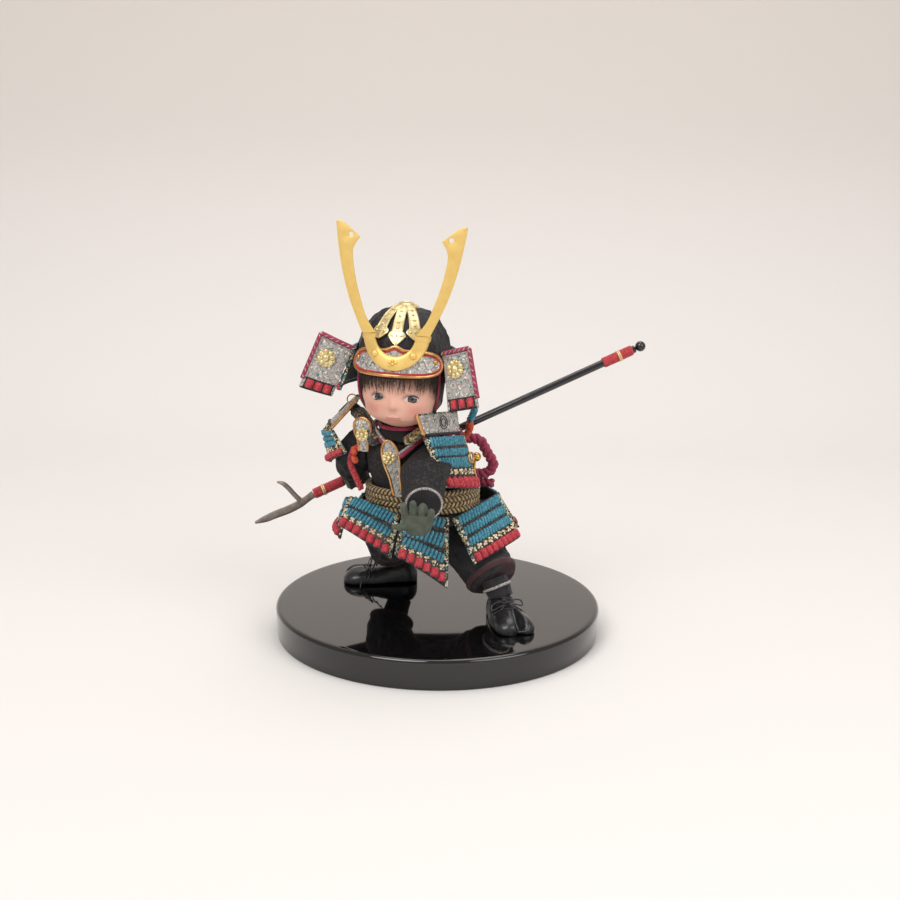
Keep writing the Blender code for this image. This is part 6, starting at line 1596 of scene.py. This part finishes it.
def makeShoulderFittings():
    surface = flatSurface(guards["left"])
    out = plateNormal(guards["left"])
    across = (guards["left"][1] - guards["left"][0]).normalized()
    centre = surface(0.93, 0.42)[0] + out * 0.0035
    side = out.orthogonal().normalized()
    loop = circle(centre, side * 0.0032, out.cross(side) * 0.0032, 32)
    make("guard_ring", tube(loop, 0.9, 10, True), copperGilt, "gilt_metal", "shoulder_ring")
    bead = centre + across * 0.0073
    rows = [circle(bead + out * 0.0033 * -cos(a), across * 0.0033 * sin(a), out.cross(across) * 0.0033
        * sin(a), 28) for a in (pi * k / 16 for k in range(1, 16))]
    pin = [bead - across * 0.00174 - Vector((0, 0, 0.0015)), bead - across * 0.0032 - Vector((0, 0, 0.007)),
           bead - across * 0.0022 - Vector((0, 0, 0.012)), bead + across * 0.0002 - Vector((0, 0, 0.017))]
    make("guard_bead", join(loft(rows), tube(curveThrough(pin, 6), 0.95, 8)), gilt, "gilt_metal",
         "shoulder_bead")
    guard, cap = flatSurface(guards["right"]), flatSurface(caps["right"])
    ties = []
    for u, v in ((0.35, 0.12), (0.6, 0.1), (0.85, 0.12)):
        low, high = guard(u, v)[0], cap(0.3 + u * 0.6, 0.93)[0]
        ties.append(tube(curveThrough([high, (low + high) / 2 + Vector((-0.001, -0.001, 0)), low], 5), 1.9, 8,
            flat=0.6))
    make("guard_ties_right", join(*ties), strapBraid, "gold_brocade")
    front = caps["right"][1]
    ring = circle(front + Vector((-0.0035, -0.0005, 0.0015)), Vector((0.0035, 0, 0)),
        Vector((0, 0.001, 0.0035)), 28)
    make("cap_ring_right", tube(ring, 0.45, 8, True), copperGilt, "gilt_metal")


# Legs and spear

def makeHem(name, stations):  # the banded hem of a trouser leg
    rows = []
    points = [at(*p) for p, across, deep in stations]
    for k, (p, across, deep) in enumerate(stations):
        before, after = points[max(k - 1, 0)], points[min(k + 1, len(points) - 1)]
        tangent = (after - before).normalized()
        side = tangent.cross(Vector((0, 1, 0))).normalized()
        rows.append(circle(points[k], side * across * mm, side.cross(tangent).normalized() * deep * mm, 48))
    make(name, loft(rows), maroonCloth, "black_cloth", sharp=60)


boot = {"long": 56.5, "half": 14.5, "tall": 19.0, "low": 0.18}
bootShape = (  # share along the sole, width share, height share
    (0.0, 0.3, 0.45), (0.02, 0.42, 0.6), (0.05, 0.52, 0.72), (0.12, 0.62, 0.88), (0.2, 0.68, 0.98),
    (0.28, 0.73, 0.95), (0.36, 0.78, 0.88), (0.42, 0.83, 0.76), (0.48, 0.88, 0.67), (0.55, 0.93, 0.63),
    (0.62, 0.96, 0.62), (0.7, 0.98, 0.62), (0.78, 1.0, 0.61), (0.84, 1.0, 0.58), (0.9, 0.95, 0.53),
    (0.95, 0.85, 0.45), (0.98, 0.7, 0.36), (1.0, 0.5, 0.24))


def makeBoot(name, node, heel, direction, split, lace):  # glossy split-toed boot with tied lace
    across = Vector((0, 0, 1)).cross(direction)
    sides, rows = 72, []
    long, half, tall, low = boot["long"] * mm, boot["half"], boot["tall"], boot["low"]
    for along, wide, high in bootShape:
        base = heel + direction * long * along + Vector((0, 0, 0.0003))
        row = []
        for k in range(sides):
            angle = 2 * pi * k / sides
            c, s = cos(angle), sin(angle)
            x = copysign(abs(c) ** 0.8, c) * half * wide
            z = tall * high * (low + (1 - low) * s ** 0.9 if s >= 0 else low * (1 - abs(s) ** 0.5))
            toe = max(0.0, (along - 0.56) / 0.44)
            valley = exp(-((x - split * half * 2) / (1.3 + 1.3 * toe)) ** 2) * min(1.0, toe * 1.8)
            z -= z * 0.85 * valley if s > 0 else 0.0
            spot = base + across * x * mm + Vector((0, 0, z * mm))
            crease = 0.7 * sin(along * 38 + x * 0.25) * max(0.0, s) * exp(-((along - 0.42) / 0.2) ** 2)
            crease += noise.noise(spot * 230) * 0.7 * max(0.0, s)
            row.append(spot + (across * c * 0.3 + Vector((0, 0, max(s, 0.0)))) * crease * mm - direction
                * 0.008 * valley * toe ** 3)
        rows.append(row)
    make(name, loft(rows), gloss, "black_leather", node)
    seams = []
    for level, wide, high in ((0.2, 0.68, 0.98), (0.58, 0.93, 0.63)):
        line = []
        for k in range(25):
            angle = pi * (0.04 + 0.92 * k / 24)
            c, s = cos(angle), sin(angle)
            line.append(heel + direction * (long * level + 0.0015 * s) + across * copysign(abs(c) ** 0.8, c)
                * 0.0147 * wide + Vector((0, 0, 0.0004 + 0.0193 * high * (low + (1 - low) * s ** 0.9))))
        seams.append(tube(line, 0.28, 6))
    make(name + "_welts", join(*seams), gloss, "black_leather")
    if lace:
        centre, side, forward = lace
        up = Vector((0, 0, 1))
        cords = []
        for way in (-1, 1):
            loop = [centre, centre + side * way * 0.005 + up * 0.0022 - forward * mm,
                    centre + side * way * 0.0105 + up * 0.0008 - forward * 0.0012,
                    centre + side * way * 0.0112 - up * 0.0018 + forward * 0.0014,
                    centre + side * way * 0.0055 + up * 0.0002 + forward * 0.0018, centre]
            cords.append(tube(curveThrough(loop, 5), 0.55, 8))
            tail = [centre, centre + side * way * 0.0035 + forward * 0.0032 + up * 0.0004,
                    centre + side * way * 0.0085 + forward * 0.0055 - up * 0.0022,
                    centre + side * way * 0.0115 + forward * 0.0066 - up * 0.0058]
            cords.append(tube(curveThrough(tail, 5), 0.5, 8))
            for back, rise in ((0.003, 0.0012), (0.0068, 0.004)):
                cross = [centre - forward * back + side * way * 0.0048 + up * (rise - 0.0008), centre
                    - forward * (back + 0.0034) - side * way * 0.0044 + up * (rise + 0.0012)]
                cords.append(tube([cross[0], (cross[0] + cross[1]) / 2 + up * 0.0012, cross[1]], 0.5, 8))
        cords.append(tube(circle(centre + up * 0.0004, side * 0.0016, up * 0.0016, 16), 0.8, 8, True))
        make(name + "_lace", join(*cords), gloss, "black_leather")


spear = {"front": at(-93.1, 24.0, 74.8), "butt": at(153.3, 60.0, 182.7), "end": 266.5, "shaft": 2.9,
    "core": 3.5, "wraps": ((0.0, 24.5, 7.2), (239.5, 264.0, 252.0)), "ball": 4.0, "cord": 1.15, "band": 3.85}
bladePath = ((-97.5, 23.8, 71.6), (-104.0, 23.5, 67.0), (-112.6, 23.2, 62.6), (-121.0, 23.0, 59.3),
    (-129.5, 22.6, 55.6), (-137.4, 22.0, 52.6))
bladeHalves = (2.9, 2.6, 3.0, 3.1, 3.0, 2.6, 0.9)  # half the blade's width along that path


def makeSpear():
    run = (spear["butt"] - spear["front"]).normalized()
    side = run.orthogonal().normalized()
    up = run.cross(side)

    def ringAt(distance, radius, sides=28):
        return circle(spear["front"] + run * distance * mm, side * radius * mm, up * radius * mm, sides)
    end, thick = spear["end"], spear["shaft"]
    shaft = loft([ringAt(d, r) for d, r in ((0.3, 2.2), (0.8, thick), (end - 0.5, thick), (end, 2.2))])
    make("spear_rod", shaft, shaftLacquer, "shaft_lacquer", "spear_shaft", sharp=50)
    for name, node, (start, end, bandAt) in zip(("spear_winding_front", "spear_winding_butt"),
            ("spear_front_wrap", "spear_butt_wrap"), spear["wraps"]):
        wide = spear["core"]
        core = loft([ringAt(d, r) for d, r in ((start, 3.0), (start + 0.1, wide), (end - 0.1, wide),
            (end, 3.0))])
        turns = (end - start - spear["cord"]) / spear["cord"]
        steps = int(turns * 20)
        line = []
        for k in range(steps + 1):
            angle = 2 * pi * turns * k / steps
            d = start + spear["cord"] / 2 + (end - start - spear["cord"]) * k / steps
            line.append(spear["front"] + run * d * mm + (side * cos(angle) + up * sin(angle)) * wide * mm)
        make(name, join(core, tube(line, spear["cord"] / 2 * 1.04, 5)), redCord, "red_cord", node)
        bands = [tube(ringAt(bandAt + offset, spear["band"]), 0.62, 8, True) for offset in (0.35, 1.65)]
        make(name + "_bands", join(*bands), paleGilt, "gilt_metal")
    ball = spear["end"] + 0.3
    size = spear["ball"]
    rows = [ringAt(ball + size * (1 - cos(a)), size * sin(a))
            for a in (pi * k / 20 for k in range(1, 20))]
    make("spear_ball", loft(rows), shaftLacquer, "shaft_lacquer", "spear_butt_ball")
    fine = curveThrough([spear["front"] - run * 0.0003] + [at(*p) for p in bladePath], 6)
    widths = [v.x for v in curveThrough([Vector((h, 0, 0)) for h in bladeHalves], 6)]
    rows = []
    for p, half, (tangent, _, _) in zip(fine, widths, carried(fine)):
        rise = Vector((0, 1, 0)).cross(tangent).normalized()
        deep = tangent.cross(rise).normalized()
        rows.append([p + rise * half * u * mm + deep * v * 0.0011 for u,
            v in ((1, 0.15), (0.6, 0.75), (0, 1.0), (-0.6, 0.75), (-1, 0.15), (-1, -0.15), (-0.6, -0.75),
            (0, -1.0), (0.6, -0.75), (1, -0.15))])
    prong = trail(((-101.5, 23.7, 68.5), (-104.6, 23.9, 71.0), (-108.4, 24.0, 75.0), (-112.4, 24.0, 79.6),
        (-116.2, 24.0, 82.8), (-120.6, 24.0, 84.0)))
    thick = [v.x for v in curveThrough([Vector((r, 0, 0)) for r in (2.2, 2.1, 2.0, 2.0, 1.8, 0.7)], 6)]
    make("spear_head", join(loft(rows), tube(prong, thick, 12, flat=0.62)), bladeMetal, "blade_metal",
         "spear_blade", sharp=40)


for side in caps:
    makeCap(side)
makeChest()
makeBelt()
makeSleeveFittings()
makeBackBow()
makeNeckCords()
makeSideCord()
makeShoulderFittings()
makeHem("hem_left", (((37.4, -25.3, 30.4), 18.2, 16.8), ((37.7, -25.7, 30.0), 19.9, 18.5),
    ((38.5, -26.8, 28.8), 20.1, 18.7), ((39.7, -28.4, 27.1), 18.9, 17.5), ((39.9, -28.8, 26.8), 17.6, 16.2)))
makeHem("hem_right", (((-35.9, 34.9, 31.6), 15.6, 15.2), ((-35.6, 35.6, 31.0), 16.9, 16.5),
    ((-35.3, 36.4, 30.2), 17.5, 17.1), ((-34.9, 37.5, 29.1), 17.2, 16.8), ((-34.8, 37.9, 28.7), 16.0, 15.6)))
ankle = at(46.0, -34.0, 14.0) - at(40.6, -29.6, 27.0)
make("ankle_cord", circleRope(at(40.6, -29.6, 27.0) + ankle * 0.42, ankle, 9.9, 1.15, 2.8), silverCord,
     "silver_cord")
makeBoot("boot_left", "left_shoe", at(42.0, -19.5, 0.0), Vector((0.25, -0.968, 0)).normalized(), 0.08,
    (at(49.2, -47.3, 13.6), Vector((0.968, 0.25, 0.1)).normalized(),
    Vector((0.25, -0.968, -0.2)).normalized()))
makeBoot("boot_right", "right_shoe", at(-15.5, 44.0, 0.0), Vector((-1, 0, 0)), -0.08,
    (at(-52.0, 38.0, 12.4), Vector((0.1, 0.82, 0.5)).normalized(), Vector((-0.9, -0.3, -0.3)).normalized()))
makeSpear()
print("body, legs and spear made")

# Stage, lights and camera

photoCamera = {"place": (-0.009196, -1.046756, 0.398402), "pitch": 13.984, "yaw": 0.952, "roll": 0.584,
    "lens": 59.22, "sensor": 36.0}
# the wall colour is the same paper made darker: painted shade where less light falls
stage = {"floor": "e3dfdc", "wall": "d3ccc6", "behind": 0.9, "side": 3.0, "front": 2.5, "tall": 2.4,
    "bend": 0.35}


def makeStage():
    profile = [(-stage["front"], 0.0), (stage["behind"] - stage["bend"], 0.0)]
    for k in range(1, 13):
        angle = pi / 2 * k / 12
        profile.append((stage["behind"] - stage["bend"] + stage["bend"] * sin(angle), stage["bend"]
            * (1 - cos(angle))))
    profile.append((stage["behind"], stage["tall"]))
    verts = [Vector((x, y, z)) for y, z in profile for x in (-stage["side"], stage["side"])]
    faces = [(2 * k, 2 * k + 1, 2 * k + 3, 2 * k + 2) for k in range(len(profile) - 1)]
    paper, tree, shader, coords = newFinish("backdrop_paper_shaded_wall", stage["floor"], 0.9)
    # the paper darkens towards the top of the sweep: painted shade
    height = addNode(tree, "SeparateXYZ", {0: coords})
    share = addNode(tree, "MapRange", {"From Min": 0.0, "From Max": 0.5, "Value": height.outputs[2]})
    tree.links.new(addNode(tree, "Mix", {"data_type": "RGBA", 0: share, 6: linear(stage["floor"]),
        7: linear(stage["wall"])}).outputs[2], shader.inputs["Base Color"])
    newPiece("backdrop", (verts, faces), paper)


def makeLight(name, spot, aim, size, power):
    lamp = bpy.data.lights.new(name, "AREA")
    lamp.shape = "DISK"
    lamp.size = size
    lamp.energy = power
    holder = bpy.data.objects.new(name, lamp)
    holder.location = spot
    holder.rotation_euler = (Vector(aim) - Vector(spot)).to_track_quat("-Z", "Y").to_euler()
    bpy.context.scene.collection.objects.link(holder)


def makeCamera():
    lens = bpy.data.cameras.new("photo_camera")
    lens.lens = photoCamera["lens"]
    lens.sensor_width = photoCamera["sensor"]
    holder = bpy.data.objects.new("photo_camera", lens)
    turn = Matrix.Rotation(radians(-photoCamera["yaw"]), 4, "Z")
    turn = turn @ Matrix.Rotation(radians(90 - photoCamera["pitch"]), 4, "X")
    turn = turn @ Matrix.Rotation(radians(photoCamera["roll"]), 4, "Z")
    holder.matrix_world = Matrix.Translation(photoCamera["place"]) @ turn
    bpy.context.scene.collection.objects.link(holder)
    bpy.context.scene.camera = holder


makeStage()
makeLight("key", (-0.7, -1.1, 1.5), (0, 0, 0.15), 1.1, 17)
makeLight("fill", (0.9, -0.9, 0.9), (0, 0, 0.15), 1.0, 7)
makeLight("top", (0.1, 0.3, 1.6), (0, 0, 0.1), 1.2, 9)
world = bpy.data.worlds.new("studio")
bpy.context.scene.world = world
world.use_nodes = True
world.node_tree.nodes["Background"].inputs[0].default_value = linear("f0ece8")
world.node_tree.nodes["Background"].inputs[1].default_value = 0.55
bpy.context.scene.view_settings.view_transform = "Standard"
makeCamera()

for unit in units.values():
    bpy.data.objects.remove(unit)
